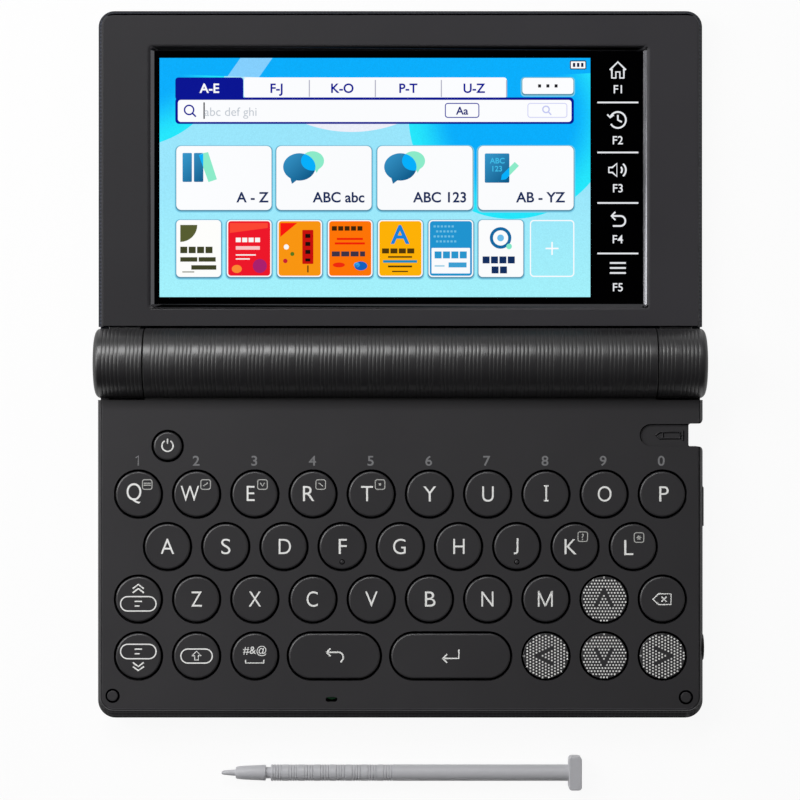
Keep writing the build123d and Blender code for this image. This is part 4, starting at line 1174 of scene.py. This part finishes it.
class DICT_OT_arrow_dots(PieceOperator):
    """Print the four arrow keys: a lattice of dots that leaves a chevron bare"""
    bl_idname = "dictionary.arrow_dots"
    bl_label = "Arrow keys"

    def execute(self, context):
        pitch = sizes().dot_pitch
        lattice = self.lattice(pitch)
        edit(lattice)
        pick("verts", lambda v: self.is_bare(v.co, pitch))
        bpy.ops.mesh.delete(type="VERT")
        leave()
        for name, turn in ARROWS.items():
            x, y, _ = middle(name)
            dots = copy_of(lattice, name.replace("key", "dots"))
            dots.rotation_euler.z = radians(turn)
            dots.location = (-0.06 * MM, 0.06 * MM, 0)
            self.fit_to_cap(settle(dots))
            dots.location = (x, y, 0)
            dress(settle(dots), "Legend ink", name)
        bpy.data.objects.remove(lattice)
        return {"FINISHED"}

    def lattice(self, pitch):
        """Two columns of dots, one half a step down, repeated across."""
        span = 15
        start = -(span // 2) * pitch
        top = KEY_TOP + sizes().ink
        columns = [repeat(disc("dots", (start + step * pitch, start + drop), sizes().dot / 2, top - LAYER, top,
                               0.012 * MM, 10, 1), span, (0, pitch, 0)) for step, drop in ((0, 0), (1, pitch / 2))]
        return repeat(join("dots", columns), (span + 1) // 2, (2 * pitch, 0, 0))

    def is_bare(self, point, pitch):
        """Whether a point's dot lies on the chevron, which points to low X, or outside the printed disc."""
        column = round(point.x / pitch)
        shift = pitch / 2 if column % 2 == 0 else 0
        row = round((point.y - shift) / pitch) * 2 + (1 if shift else 0)
        on_chevron = -3 <= column <= 2 and abs(row) == column + 3
        return on_chevron or hypot(2 * column, row) > 14.6

    def fit_to_cap(self, dots):
        """Take away the dots that pass the cap's edge, and let the outer ones follow its rounding."""
        edit(dots)
        pick("verts", lambda v: v.co.xy.length > KEY_R)
        bpy.ops.mesh.select_linked(delimit=set())
        bpy.ops.mesh.delete(type="VERT")
        steps = 10
        fall = [ARROW_ROUND * (1 - sqrt(1 - (step / steps) ** 2)) for step in range(steps + 1)]
        for step in range(1, steps + 1):
            reach = KEY_R - ARROW_ROUND + ARROW_ROUND * (step - 0.5) / steps
            pick("verts", lambda v: v.co.xy.length > reach)
            bpy.ops.transform.translate(value=(0, 0, fall[step - 1] - fall[step]))
        leave()


class DICT_OT_deck_marks(PieceOperator):
    """Print the digits on the deck and raise the pen sign in the finger recess"""
    bl_idname = "dictionary.deck_marks"
    bl_label = "Deck marks"

    def execute(self, context):
        self.digits()
        x, y = 65.2 * MM, -17.43 * MM
        pen = [[(-3.4, 0), (-2.3, 0.75), (2.6, 0.75), (2.6, -0.75), (-2.3, -0.75), (-3.4, 0)],
               [(3.3, 1.2), (3.3, -1.2)], [(2.6, 0), (3.3, 0)], [(-1.6, 0.75), (-1.6, -0.75)]]
        reach = 2.6 * MM
        edge = [(69.8 * MM, y + reach)] + arc(60.7 * MM, y, reach, 90, 215, 20)
        # After the raised sign comes painted shadow: a dark copy of the sign set off below and to the right, and a
        # dark line along the recess's upper wall and end.
        for name, made, lines, width, rise in (
                ("pen_sign", "Deck plastic", moved(pen, x, y, MM), 0.34, 10 * LAYER),
                ("pen_sign_shade", "Contact shadow", moved(pen, x + 0.12 * MM, y - 0.14 * MM, MM), 0.4, LAYER),
                ("recess_shade", "Contact shadow", [edge], 0.24, LAYER)):
            drawn = strokes(name, lines, width * MM, RECESS_FLOOR + rise, rise)
            dress(drawn, made, "base")
        return {"FINISHED"}

    def digits(self):
        """Digits over the upper row; the 1 is drawn by pen, with a short flag."""
        top = DECK_TOP + sizes().ink
        height = sizes().digit
        y, half = -23.57 * MM, height / 2
        for place, (digit, key) in enumerate(zip("1234567890", "qwertyuiop")):
            x = middle(f"key_{key}").x - 0.018 * MM * place
            if digit == "1":
                flag = [[(x - 0.62 * MM, y + half - 0.62 * MM), (x, y + half - 0.14 * MM), (x, y - half)]]
                made = strokes("digit_1", flag, 0.4 * MM, top)
            else:
                made = text(f"digit_{digit}", digit, x - 0.1 * MM, y, top, height, bold=0.012, narrow=1.08)
            dress(made, "Digit ink", "base")


class DICT_OT_small_parts(PieceOperator):
    """Finish the feet, bumpers, screws, socket and port cover"""
    bl_idname = "dictionary.small_parts"
    bl_label = "Small parts"

    def execute(self, context):
        self.pads()
        smooth_copy("case_screws", "screws", "base", "Steel")
        smooth_copy("earphone_jack", "socket", "base", "Inner plastic")
        smooth_copy("usb_port_cover", "port_cover", "port_flap", "Deck plastic")
        return {"FINISHED"}

    def pads(self):
        """The feet, and the two bumpers on the deck, each a soft disc in a ring of painted shadow."""
        pads = smooth_copy("rubber_pads", "pads", "base", "Rubber")
        edit(pads)
        pick("verts", lambda v: v.co.z > DECK_TOP - MM)
        bpy.ops.mesh.delete(type="VERT")
        leave()
        pieces = [pads]
        for spot in BUMPER_SPOTS:
            seat = (69.5 * MM if spot[0] > 0 else -69.5 * MM, -81 * MM)
            pieces.append(disc("seat", seat, 1.4 * MM, DECK_TOP - 0.6 * MM, DECK_TOP - 0.005 * MM))
            pieces.append(disc("ring", spot, 1.74 * MM, DECK_TOP - 0.3 * MM, DECK_TOP + 0.02 * MM))
            pieces.append(disc("bumper", spot, 1.27 * MM, DECK_TOP - 0.5 * MM, DECK_TOP + 0.4 * MM, 0.2 * MM))
        made = tidy_mesh(join("pads", pieces), 40)
        dress(made, "Rubber", "base")

        def on_ring(face):
            return at_height(face, DECK_TOP + 0.02 * MM, 0.004 * MM)

        paint_faces(made, "Contact shadow", on_ring)
        paint_faces(made, "Deck plastic", lambda face: centre(face).z > DECK_TOP - 0.02 * MM and not on_ring(face))


class DICT_OT_stylus(PieceOperator):
    """Turn the stylus and give it its flat head"""
    bl_idname = "dictionary.stylus"
    bl_label = "Stylus"
    radius = 2.0 * MM

    def execute(self, context):
        low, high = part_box("stylus")
        axis = ((low.y + high.y) / 2, 2.4 * MM)
        nib = [(0, 0), (0.12, 0.28), (0.35, 0.45), (0.8, 0.55), (3.6, 0.8), (3.6, 1.35), (3.9, 1.5), (5.5, 1.68),
               (10.6, 1.92), (10.9, 1.88), (11.0, 1.4), (12.2, 1.4)]
        line = drawn_line("stylus_shaft", [(low.x + along * MM, r * MM, 0) for along, r in nib])
        grip_end, shaft_end = low.x + 42.8 * MM, low.x + 85.2 * MM
        extend(line, 1, self.grip(low.x + 12.2 * MM)
               + [(grip_end, self.radius, 0), (shaft_end, self.radius, 0), (shaft_end, 0, 0)])
        shaft = tidy_mesh(turned(line, axis, 2 * pi, 48), 35)
        head = box("head", (shaft_end - HAIR, low.y, 0), (high.x, high.y, 4.8 * MM))
        edit(head)
        bevel_edges(lambda edge: abs(edge.verts[0].co.z - edge.verts[1].co.z) > MM, 0.8 * MM, 5)
        pick("faces", lambda face: abs(face.normal.z) > 0.9)
        bpy.ops.mesh.bevel(offset=0.2 * MM, segments=3, affect="EDGES")
        leave()
        tidy_mesh(head, 35)
        made = tidy_mesh(join("stylus_body", [shaft, head]), 35)
        dress(made, "Stylus plastic", "stylus")
        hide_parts("stylus")
        return {"FINISHED"}

    def grip(self, start):
        """Outline of the grip: eight groups of fine rings parted by plain bands."""
        period, pitch = 3.87 * MM, 0.65 * MM
        outline = [(start, self.radius - 0.12 * MM, 0), (start + 0.12 * MM, self.radius, 0)]
        for ring in range(32):
            at = start + 0.5 * MM + ring // 4 * period + ring % 4 * pitch
            outline += [(at + pitch * share, self.radius - drop * MM, 0)
                        for share, drop in ((0, 0), (0.18, 0.14), (0.32, 0.16), (0.5, 0))]
        return outline


# ---------------------------------------------------------------- the picture

UNIT = 0.24417 * MM
PICTURE_LEFT = -58.8 * MM
PICTURE_TOP = 74.6 * MM
CARD_TOP = 88
TILE_TOP = 162


def lifted(name, u_range, v_range, corner):
    """Rows of a white plate with a soft dark edge, strongest below."""
    (u0, u1), (v0, v1) = u_range, v_range
    return (("panel", f"{name}_far_shade", 1, (124, 204, 232), (u0 - 1.6, u1 + 1.6), (v0 - 0.8, v1 + 2.6), corner + 1),
            ("panel", f"{name}_shade", 2, (84, 146, 170), (u0 - 0.7, u1 + 0.7), (v0 - 0.3, v1 + 1.5), corner + 0.5),
            ("panel", name, 3, "paper", u_range, v_range, corner))


# Each row: kind, name, layer and tone of a piece, then what its kind asks for, in screen units.
HEADER = (
    ("panel", "tab_row", 1, "paper", (84.3, 347.3), (19.5, 40), 3),
    ("panel", "tab_active", 1, "navy", (15.8, 83.8), (19.5, 42), 3),
    ("pen", "tab_dividers", 2, (176, 176, 194), [[(u, 22), (u, 39)] for u in (149.8, 215.8, 281.8, 347)], 1.1),
    ("sign", "tab_sign_A-E", 2, "paper", "A-E", 49.8, 30, 9.5),
    *(("sign", f"tab_sign_{label}", 2, "navy", label, u, 30, 9.5)
      for label, u in (("F-J", 117), ("K-O", 182.8), ("P-T", 248.8), ("U-Z", 314.8))),
    *lifted("settings", (362.8, 413.8), (20, 36), 3),
    ("pen", "settings_dots", 4, (20, 20, 26), [[(u, 28), (u + 3, 28)] for u in (378.5, 386.8, 395)], 3.2),
    ("panel", "battery_sign", 1, "paper", (410.3, 426.8), (2.5, 11.5), 1.5),
    ("panel", "battery_rim", 2, (20, 26, 60), (410.3, 426.8), (2.5, 11.5), 1.5, 1.0),
    ("pen", "battery_bars", 3, (20, 26, 60), [[(u, 5), (u, 9)] for u in (414.5, 418.6, 422.7)], 2.4),
    ("panel", "search_border", 3, "navy", (15.8, 414.3), (39.5, 66), 4),
    ("panel", "search_field", 4, "paper", (18.4, 411.9), (42, 64), 3),
    ("pen", "search_glass", 5, "navy", [arc(29.6, 52, 4.6, 0, 360, 24), [(33, 55.4), (36.4, 58.8)]], 1.5),
    ("pen", "cursor", 5, (70, 70, 76), [[(44.6, 44.5), (44.6, 61)]], 1.4),
    ("sign", "hint", 5, (196, 202, 210), "abc def ghi", 71, 53.5, 9, 0),
    ("panel", "write_button", 5, (60, 66, 160), (285.3, 319.8), (45, 60), 3, 1.0),
    ("sign", "write_sign", 6, (40, 46, 120), "Aa", 302.5, 52.6, 8),
    ("panel", "find_button", 5, (214, 216, 246), (367.8, 407.8), (45, 60), 3, 1.0),
    ("pen", "find_lens", 6, (196, 200, 242), [arc(386.4, 51.5, 3.2, 0, 360, 20), [(388.8, 54), (391.6, 57)]], 1.4),
)

# Each icon: the name of its shaded blue, and its rows from the card's corner.
PAGE_SIGN = (64, 188, 232)
ICONS = {
    "books": ("Screen books", (
        ("panel", "book_0", 4, "icon", (6.2, 15.6), (7, 36), 1),
        ("panel", "book_1", 4, "icon", (17.6, 27), (7, 36), 1),
        ("patch", "book_leaning", 5, "mint", [(26.9, 7.2), (31.8, 6.2), (40.6, 33.4), (32.2, 36.2), (22.6, 9.2)]),
        ("patch", "book_overlap", 6, "cyan", [(22.6, 9.2), (26.9, 7.6), (26.9, 21.4)]))),
    "bubbles": ("Screen bubble {}", (
        ("oval", "bubble_small_{}", 4, "mint", 36.2, 15, 11.5, 9.7),
        ("patch", "tail_small_{}", 4, "mint", [(37.5, 22), (40.4, 27), (43.5, 21)]),
        ("oval", "bubble_large_{}", 5, "icon", 23, 21, 16.2, 13.7),
        ("patch", "tail_large_{}", 5, "icon", [(13.4, 30), (15.6, 38), (22, 33)]))),
    "page": ("Screen page", (
        ("panel", "page", 4, "icon", (6.4, 31), (7.5, 36.8), 1.2),
        ("sign", "page_sign_0", 5, PAGE_SIGN, "ABC", 18.8, 14.6, 5.6),
        ("sign", "page_sign_1", 5, PAGE_SIGN, "123", 18.8, 22.6, 5.6),
        ("patch", "pencil", 5, "mint", [(22.6, 34), (23.4, 29), (36.4, 16), (40.6, 20), (27.4, 33.4)]),
        ("patch", "pencil_overlap", 6, "cyan", [(22.6, 34), (23.4, 29), (31, 21.4), (31, 29.6), (27.4, 33.4)]))),
}
CARDS = (("books", "A - Z", 19), ("bubbles", "ABC abc", 33), ("bubbles", "ABC 123", 33), ("page", "AB - YZ", 33))

# Colours of the covers in the lowest row and the plain shapes on them, in screen units from their corner.
INK = (62, 66, 38)
WHITE = (250, 250, 248)
COVERS = (
    ((254, 254, 252), (("patch", arc(4, 5, 17, 0, 90, 8) + [(4, 5)], (86, 92, 48)),
                       ("words", 4, 30, (7, 7, 7, 7), 6.5, INK), ("words", 4, 39.5, (17, 17), 4.5, INK),
                       ("words", 15, 47.5, (25,), 4.5, INK), ("words", 6, 52, (12,), 1.2, (150, 152, 140)))),
    ((238, 20, 40), (("patch", [(3, 3), (41, 3), (41, 8), (3, 13)], (252, 70, 50)),
                     ("oval", 33, 46, 7, 7, (170, 30, 110)), ("oval", 10, 49, 5, 4, (252, 140, 50)),
                     ("words", 9, 20, (5, 5, 5, 5), 4.5, WHITE), ("words", 9, 28, (24,), 3.5, (250, 200, 200)),
                     ("words", 9, 35, (20,), 1.2, WHITE), ("words", 9, 39, (14,), 1.2, WHITE))),
    ((250, 150, 12), (("patch", [(3, 3), (20, 3), (3, 17)], (250, 20, 10)),
                      ("panel", (25, 36), (10, 44), 0.8, (200, 12, 6)), ("words", 28, 16, (5,), 4, (24, 10, 6)),
                      ("words", 28, 24, (5,), 4, (24, 10, 6)), ("words", 28, 32, (5,), 4, (24, 10, 6)),
                      ("words", 28, 40, (5,), 3, (24, 10, 6)), ("oval", 9, 27, 2.6, 2.6, WHITE),
                      ("oval", 15, 34, 2, 2, (90, 120, 30)), ("oval", 8, 41, 2.2, 2.2, (200, 30, 50)),
                      ("words", 29.8, 49, (1.5,), 7, (110, 70, 10)))),
    ((255, 116, 0), (("words", 4, 8.5, (5, 5, 5, 5, 5), 4.5, (60, 34, 6)), ("words", 9, 19, (26,), 2, (240, 30, 0)),
                     ("words", 7, 23.5, (30,), 2, (240, 30, 0)), ("words", 4, 34, (8, 8, 8, 5), 5, (60, 50, 70)),
                     ("oval", 33, 46, 6.5, 4.5, (16, 96, 190)), ("oval", 29, 45, 3, 2.6, (60, 170, 240)),
                     ("oval", 11, 45, 6, 2.4, (240, 40, 10)))),
    ((255, 178, 0), (("sign", "A", 22, 14, 19, (20, 130, 220)), ("words", 4, 31, (7, 7, 7, 7), 5, (80, 56, 6)),
                     ("words", 10, 37, (24,), 1.6, (80, 56, 6)), ("words", 5, 41.5, (34,), 2.6, (30, 140, 190)),
                     ("words", 10, 46.5, (24,), 1.8, (80, 56, 6)), ("words", 14, 51.5, (16,), 1.2, (80, 56, 6)))),
    ((30, 148, 208), (("panel", (3, 41.5), (28, 53.5), 0.8, (252, 253, 255)),
                      ("words", 6, 35, (7, 7, 7, 7), 7, (40, 150, 206)), ("words", 20, 45, (18,), 5, (60, 160, 212)),
                      ("words", 6, 46, (10,), 1.4, (150, 205, 230)))
     + tuple(("words", 5 + 2.5 * (row % 2), 6.5 + 5 * row, (2.2,) * 6, 2, (110, 190, 228)) for row in range(4))),
    ((253, 254, 255), (("pen", [arc(22, 18, 9.2, 0, 360, 32)], 3.2, (12, 104, 162)),
                       ("oval", 22, 18, 3.4, 3.4, (110, 190, 236)), ("oval", 30.5, 26.5, 2.8, 2.8, (130, 232, 200)),
                       ("words", 4, 40, (7, 7, 7, 7), 7, (16, 44, 92)),
                       ("words", 13, 50, (7, 7), 7, (16, 44, 92)))),
)


class DICT_OT_screen(PieceOperator):
    """Lay out the lit picture on the display"""
    bl_idname = "dictionary.screen"
    bl_label = "Screen"

    def execute(self, context):
        shown = context.scene.dictionary_screen
        self.lights = {"cyan": lit("Screen cyan", tone(0, 176, 252)), "mint": lit("Screen mint", tone(140, 236, 202))}
        for name in ("paper", "navy", "caption"):
            self.lights[name] = lit(f"Screen {name}", getattr(shown, name))
        self.corner = (0, 0)
        self.show(self.panel("wallpaper", 0, (0, 430.8), (0, 239.1)), self.sky(shown))
        self.lay(HEADER)
        for number, (icon, label, inset) in enumerate(CARDS):
            u0 = (16.8, 116.8, 217.8, 318.8)[number]
            u1 = u0 + 95.2
            self.lay((*lifted(f"card_{number}", (u0, u1), (CARD_TOP, 152), 5),
                      ("sign", f"card_sign_{number}", 4, "caption", label, u1 - inset, 139, 10.5)))
            self.corner = (u0, CARD_TOP)
            name, rows = ICONS[icon]
            self.lights["icon"] = lit(name.format(number), tone(54, 152, 204), tone(0, 84, 132),
                                      (self.x(5), self.y(8)), (self.x(31), self.y(36)))
            self.lay(rows, self.corner, number)
            if icon == "bubbles":
                self.overlap(number)
        for number, (cover, drawn) in enumerate(COVERS):
            u0 = (16.8, 67.3, 117.8, 168.3, 218.5, 269, 319)[number]
            self.lay((*lifted(f"tile_{number}", (u0, u0 + 44.7), (TILE_TOP, 219), 4),
                      ("panel", f"cover_{number}", 4, cover, (u0 + 1.3, u0 + 43.4), (TILE_TOP + 1.2, 217.8), 3)))
            self.lay([(kind, f"cover_{number}_{order}", 6 if kind == "words" else 5, light, *values)
                      for order, (kind, *values, light) in enumerate(drawn)], (u0, TILE_TOP))
        self.lay((("panel", "tile_add", 2, "paper", (370.3, 414.8), (TILE_TOP, 219), 4, 1.2),
                  ("pen", "tile_plus", 2, "paper", [[(392.5, 184), (392.5, 197)], [(386, 190.5), (399, 190.5)]], 1.5)))
        return {"FINISHED"}

    def lay(self, rows, corner=(0, 0), number=""):
        """Make the rows of a table, in screen units from a corner."""
        self.corner = corner
        for kind, name, layer, light, *values in rows:
            self.show(getattr(self, kind)(name.format(number), layer, *values), self.paint(light))

    def x(self, u):
        return PICTURE_LEFT + (self.corner[0] + u) * UNIT

    def y(self, v):
        return PICTURE_TOP - (self.corner[1] + v) * UNIT

    def z(self, layer):
        return PANEL_TOP + (layer + 1) * LAYER

    def panel(self, name, layer, u_range, v_range, corner=0, border=0):
        """A plate, or with a border just its frame."""
        return plate(name, [self.x(u) for u in u_range], [self.y(v) for v in v_range], self.z(layer),
                     LAYER * 0.8, corner * UNIT, border * UNIT)

    def pen(self, name, layer, lines, width):
        """Strokes of even width."""
        lines = [[(self.x(u), self.y(v)) for u, v in line] for line in lines]
        return strokes(name, lines, width * UNIT, self.z(layer), LAYER * 0.8)

    def words(self, name, layer, u, v, widths, thick):
        """A row of short bars that stands for a line of small print, starting at u."""
        starts = [u + sum(widths[:order]) + 1.4 * order for order in range(len(widths))]
        return self.pen(name, layer, [[(at, v), (at + width, v)] for at, width in zip(starts, widths)], thick)

    def sign(self, name, layer, characters, u, v, height, bold=0.02):
        """Plain letters or digits, centred."""
        return text(name, characters, self.x(u), self.y(v), self.z(layer), height * UNIT, LAYER, bold)

    def oval(self, name, layer, u, v, u_radius, v_radius):
        """An elliptic plate."""
        obj = disc(name, (0, 0), 1, self.z(layer) - LAYER * 0.8, self.z(layer), sides=40)
        obj.scale = (u_radius * UNIT, v_radius * UNIT, 1)
        obj.location = (self.x(u), self.y(v), 0)
        return settle(obj)

    def patch(self, name, layer, points):
        """A plate with a drawn outline."""
        return shape(name, [(self.x(u), self.y(v)) for u, v in points], self.z(layer), LAYER * 0.8)

    def overlap(self, number):
        """The part that the two speech bubbles share."""
        made = self.oval(f"bubble_overlap_{number}", 6, 36.2, 15, 11.5, 9.7)
        other = self.oval("bubble_cutter", 6, 23, 21, 16.2, 13.7)
        apply_modifier(made, "BOOLEAN", operation="INTERSECT", object=other, solver="EXACT")
        bpy.data.objects.remove(other)
        self.show(made, self.lights["cyan"])

    def show(self, obj, made):
        tidy_mesh(obj, 20)
        dress(obj, made, "lid")

    def paint(self, light):
        """A named light, or the lit material of one tone, made once."""
        if light in self.lights:
            return self.lights[light]
        name = "Screen tone {}-{}-{}".format(*light)
        return bpy.data.materials.get(name) or lit(name, tone(*light))

    def sky(self, shown):
        """Pale below and blue above, with broad discs that glow along their edges, and fine noise."""
        made, tree, shader = blank_material("Wallpaper")
        place = object_place(tree)
        across, up, _ = split(tree, place)
        out = mix(tree, ramp(tree, up, self.y(239), self.y(120)), tone(164, 242, 252), shown.haze)
        pearl = (tone(214, 236, 250), tone(238, 240, 250))
        blue = (shown.sky, tone(36, 232, 252))
        for u, v, radius, (inner, rim) in ((192, -60, 134, pearl), (-30, -10, 99, blue), (352, 58, 103, blue),
                                           (215, -3980, 4001, (shown.sky, shown.sky))):
            out = self.glow(tree, place, out, (self.x(u), self.y(v)), radius * UNIT, inner, rim)
        lean = sums(tree, "MULTIPLY_ADD", up, -0.7, across)
        offset = sums(tree, "SUBTRACT", lean, self.x(92) - 0.7 * self.y(7))
        ray = sums(tree, "LESS_THAN", sums(tree, "ABSOLUTE", offset), 16 * UNIT)
        ray = sums(tree, "MULTIPLY", ray, sums(tree, "GREATER_THAN", up, self.y(30)))
        out = mix(tree, sums(tree, "MULTIPLY", ray, 0.45), out, tone(190, 240, 255))
        level = sums(tree, "MULTIPLY_ADD", noise(tree, place, 3600.0, 1.0), 0.22, 0.89)
        return backlit(made, tree, shader, scaled(tree, out, level))

    def glow(self, tree, place, under, spot, radius, inner, rim):
        """A disc on the wallpaper that changes tone towards its edge."""
        reach = add_node(tree, "ShaderNodeVectorMath", {0: place, 1: (*spot, PANEL_TOP)}, operation="DISTANCE")
        reach = reach.outputs["Value"]
        outward = ramp(tree, reach, radius - 45 * UNIT, radius, kind="SMOOTHSTEP")
        return mix(tree, sums(tree, "LESS_THAN", reach, radius), under, mix(tree, outward, inner, rim))


class DICT_OT_touch_strip(PieceOperator):
    """Print the signs of the touch strip beside the display"""
    bl_idname = "dictionary.touch_strip"
    bl_label = "Touch strip"

    def execute(self, context):
        made = lit("Strip light", tone(232, 234, 238))
        x = PICTURE_LEFT + 458.3 * UNIT

        def put(name, v, lines, width=1.7):
            lines = moved(lines, x, PICTURE_TOP - v * UNIT, UNIT)
            drawn = strokes(f"strip_{name}", lines, width * UNIT, PANEL_TOP + LAYER, LAYER * 0.8)
            dress(drawn, made, "lid")

        put("home", 12, [[(-8, 0), (0, 8), (8, 0)],
                         [(-6, 1), (-6, -8), (-2, -8), (-2, -2), (2, -2), (2, -8), (6, -8), (6, 1)]])
        put("history", 62, [arc(0, 0, 8, 160, -150, 28), [(-10.5, 5.5), (-7.6, 2.4), (-4.2, 5.2)],
                            [(0, 5), (0, 0), (4, -2)]])
        put("sound", 112, [[(-9, 2.5), (-5.5, 2.5), (-1, 6.5), (-1, -6.5), (-5.5, -2.5), (-9, -2.5), (-9, 2.5)],
                           arc(0, 0, 4.2, -45, 45, 8), arc(0, 0, 8, -50, 50, 10)])
        put("back", 163, [[(-6, 5), (2.5, 5)] + arc(2.5, 0, 5, 90, -90, 12) + [(-5, -5)],
                          [(-2.5, 9), (-6.5, 5), (-2.5, 1)]])
        put("menu", 210, [[(-8, 5), (8, 5)], [(-8, 0), (8, 0)], [(-8, -5), (8, -5)]])
        for number, v in enumerate((31, 82, 130, 181, 229)):
            label = text(f"strip_sign_{number}", f"F{number + 1}", x, PICTURE_TOP - v * UNIT, PANEL_TOP + LAYER,
                         8.5 * UNIT, LAYER, 0.008)
            dress(label, made, "lid")
        put("rules", 0, [[(-20.5, -v), (20.5, -v)] for v in (44.5, 94.5, 145, 195.5)], 1.6)
        return {"FINISHED"}


class DICT_OT_stage(PieceOperator):
    """Set the table, lamps and camera"""
    bl_idname = "dictionary.stage"
    bl_label = "Stage"

    def execute(self, context):
        studio = context.scene.dictionary_studio
        self.floor()
        self.world(studio)
        self.lamp("Rear lamp", (-0.14, 0.52, 0.56), 0.76, (0.3, 0.24), studio.rear)
        self.lamp("Key lamp", (-0.41, 0.16, 0.37), 0.6, (0.3, 0.4), studio.key)
        self.lamp("Fill lamp", (0.1, -0.25, 1.0), 1.2, (0.9, 0.9), studio.fill).visible_glossy = False
        bpy.ops.object.camera_add(location=(studio.side, studio.aim, studio.height), rotation=(0, 0, 0))
        camera = named("Camera")
        camera.data.lens = studio.lens
        camera.data.sensor_width = 36
        camera.data.clip_start = 0.01
        context.scene.camera = camera
        context.scene.view_settings.view_transform = "Standard"
        return {"FINISHED"}

    def floor(self):
        bpy.ops.mesh.primitive_plane_add(size=6)
        floor = named("Table")
        made = bpy.data.materials.new("Table paper")
        made.use_nodes = True
        tree = made.node_tree
        tree.nodes.clear()
        fibre = noise(tree, object_place(tree), 300.0)
        shade = mix(tree, fibre, (0.78, 0.78, 0.78, 1), (0.82, 0.82, 0.82, 1))
        soft = add_node(tree, "ShaderNodeBsdfDiffuse", {"Color": shade}).outputs[0]
        glow = add_node(tree, "ShaderNodeEmission", {"Color": (1, 1, 1, 1), "Strength": 1.0}).outputs[0]
        tree.links.new(mixed_ray(tree, soft, glow, 0.93), add_node(tree, "ShaderNodeOutputMaterial").inputs[0])
        floor.data.materials.append(made)

    def world(self, studio):
        """Soft surroundings, brighter to the left and right, darker in front."""
        world = bpy.data.worlds.new("Surroundings")
        bpy.context.scene.world = world
        world.use_nodes = True
        tree = world.node_tree
        tree.nodes.clear()
        toward = add_node(tree, "ShaderNodeTexCoord").outputs["Generated"]
        across, back, _ = split(tree, toward)
        sides = sums(tree, "MULTIPLY_ADD", sums(tree, "POWER", sums(tree, "ABSOLUTE", across), 4.0), 2.3, 0.3)
        rear = sums(tree, "MULTIPLY", sums(tree, "MULTIPLY", back, back), back)
        shape = sums(tree, "MAXIMUM", sums(tree, "MULTIPLY_ADD", rear, 0.95, sides), 0.08)
        soft = add_node(tree, "ShaderNodeBackground", {"Color": (1, 1, 1, 1),
                                                       "Strength": sums(tree, "MULTIPLY", shape, studio.ambient)})
        glow = add_node(tree, "ShaderNodeBackground", {"Color": (1, 1, 1, 1), "Strength": 1.0})
        path = add_node(tree, "ShaderNodeLightPath").outputs
        seen = sums(tree, "MAXIMUM", path["Is Camera Ray"], path["Is Transmission Ray"])
        mixed = add_node(tree, "ShaderNodeMixShader", {0: seen, 1: soft.outputs[0], 2: glow.outputs[0]})
        tree.links.new(mixed.outputs[0], add_node(tree, "ShaderNodeOutputWorld").inputs[0])

    def lamp(self, name, toward, distance, spread, power):
        place = Vector(toward).normalized() * distance
        bpy.ops.object.light_add(type="AREA", location=place)
        lamp = named(name)
        lamp.rotation_euler = place.to_track_quat("Z", "Y").to_euler()
        lamp.data.shape = "RECTANGLE"
        lamp.data.size, lamp.data.size_y = spread
        lamp.data.energy = power
        return lamp


def mixed_ray(tree, lit_part, glow, share):
    """Show a plain glow to the camera and to reflections, keeping a share of the lit surface."""
    path = add_node(tree, "ShaderNodeLightPath").outputs
    seen = sums(tree, "MAXIMUM", path["Is Camera Ray"], path["Is Glossy Ray"])
    seen = sums(tree, "MAXIMUM", seen, path["Is Transmission Ray"])
    mixed = add_node(tree, "ShaderNodeMixShader", {0: sums(tree, "MULTIPLY", seen, share), 1: lit_part, 2: glow})
    return mixed.outputs[0]


class DICT_PT_sidebar(bpy.types.Panel):
    """Buttons for every piece"""
    bl_idname = "DICT_PT_sidebar"
    bl_label = "Electronic dictionary"
    bl_space_type = "VIEW_3D"
    bl_region_type = "UI"
    bl_category = "Dictionary"

    def draw(self, context):
        for operator in OPERATORS:
            self.layout.operator(operator.bl_idname)
        for group in (context.scene.dictionary_finish, context.scene.dictionary_sizes,
                      context.scene.dictionary_screen, context.scene.dictionary_studio):
            for name in group.__annotations__:
                self.layout.prop(group, name)


SETTINGS = {"dictionary_finish": DictionaryFinish, "dictionary_sizes": DictionarySizes,
            "dictionary_screen": DictionaryScreen, "dictionary_studio": DictionaryStudio}
OPERATORS = (DICT_OT_stage, DICT_OT_materials, DICT_OT_housing, DICT_OT_barrel, DICT_OT_keys, DICT_OT_legends,
             DICT_OT_arrow_dots, DICT_OT_deck_marks, DICT_OT_small_parts, DICT_OT_stylus, DICT_OT_inner_parts,
             DICT_OT_screen, DICT_OT_touch_strip)


def register():
    for group in SETTINGS.values():
        bpy.utils.register_class(group)
    for cls in (*OPERATORS, DICT_PT_sidebar):
        bpy.utils.register_class(cls)
    for name, group in SETTINGS.items():
        setattr(bpy.types.Scene, name, PointerProperty(type=group))


def unregister():
    for name in SETTINGS:
        delattr(bpy.types.Scene, name)
    for cls in (DICT_PT_sidebar, *reversed(OPERATORS), *SETTINGS.values()):
        bpy.utils.unregister_class(cls)


def main():
    register()
    for operator in OPERATORS:
        group, call = operator.bl_idname.split(".")
        getattr(getattr(bpy.ops, group), call)()


if __name__ == "__main__":
    main()
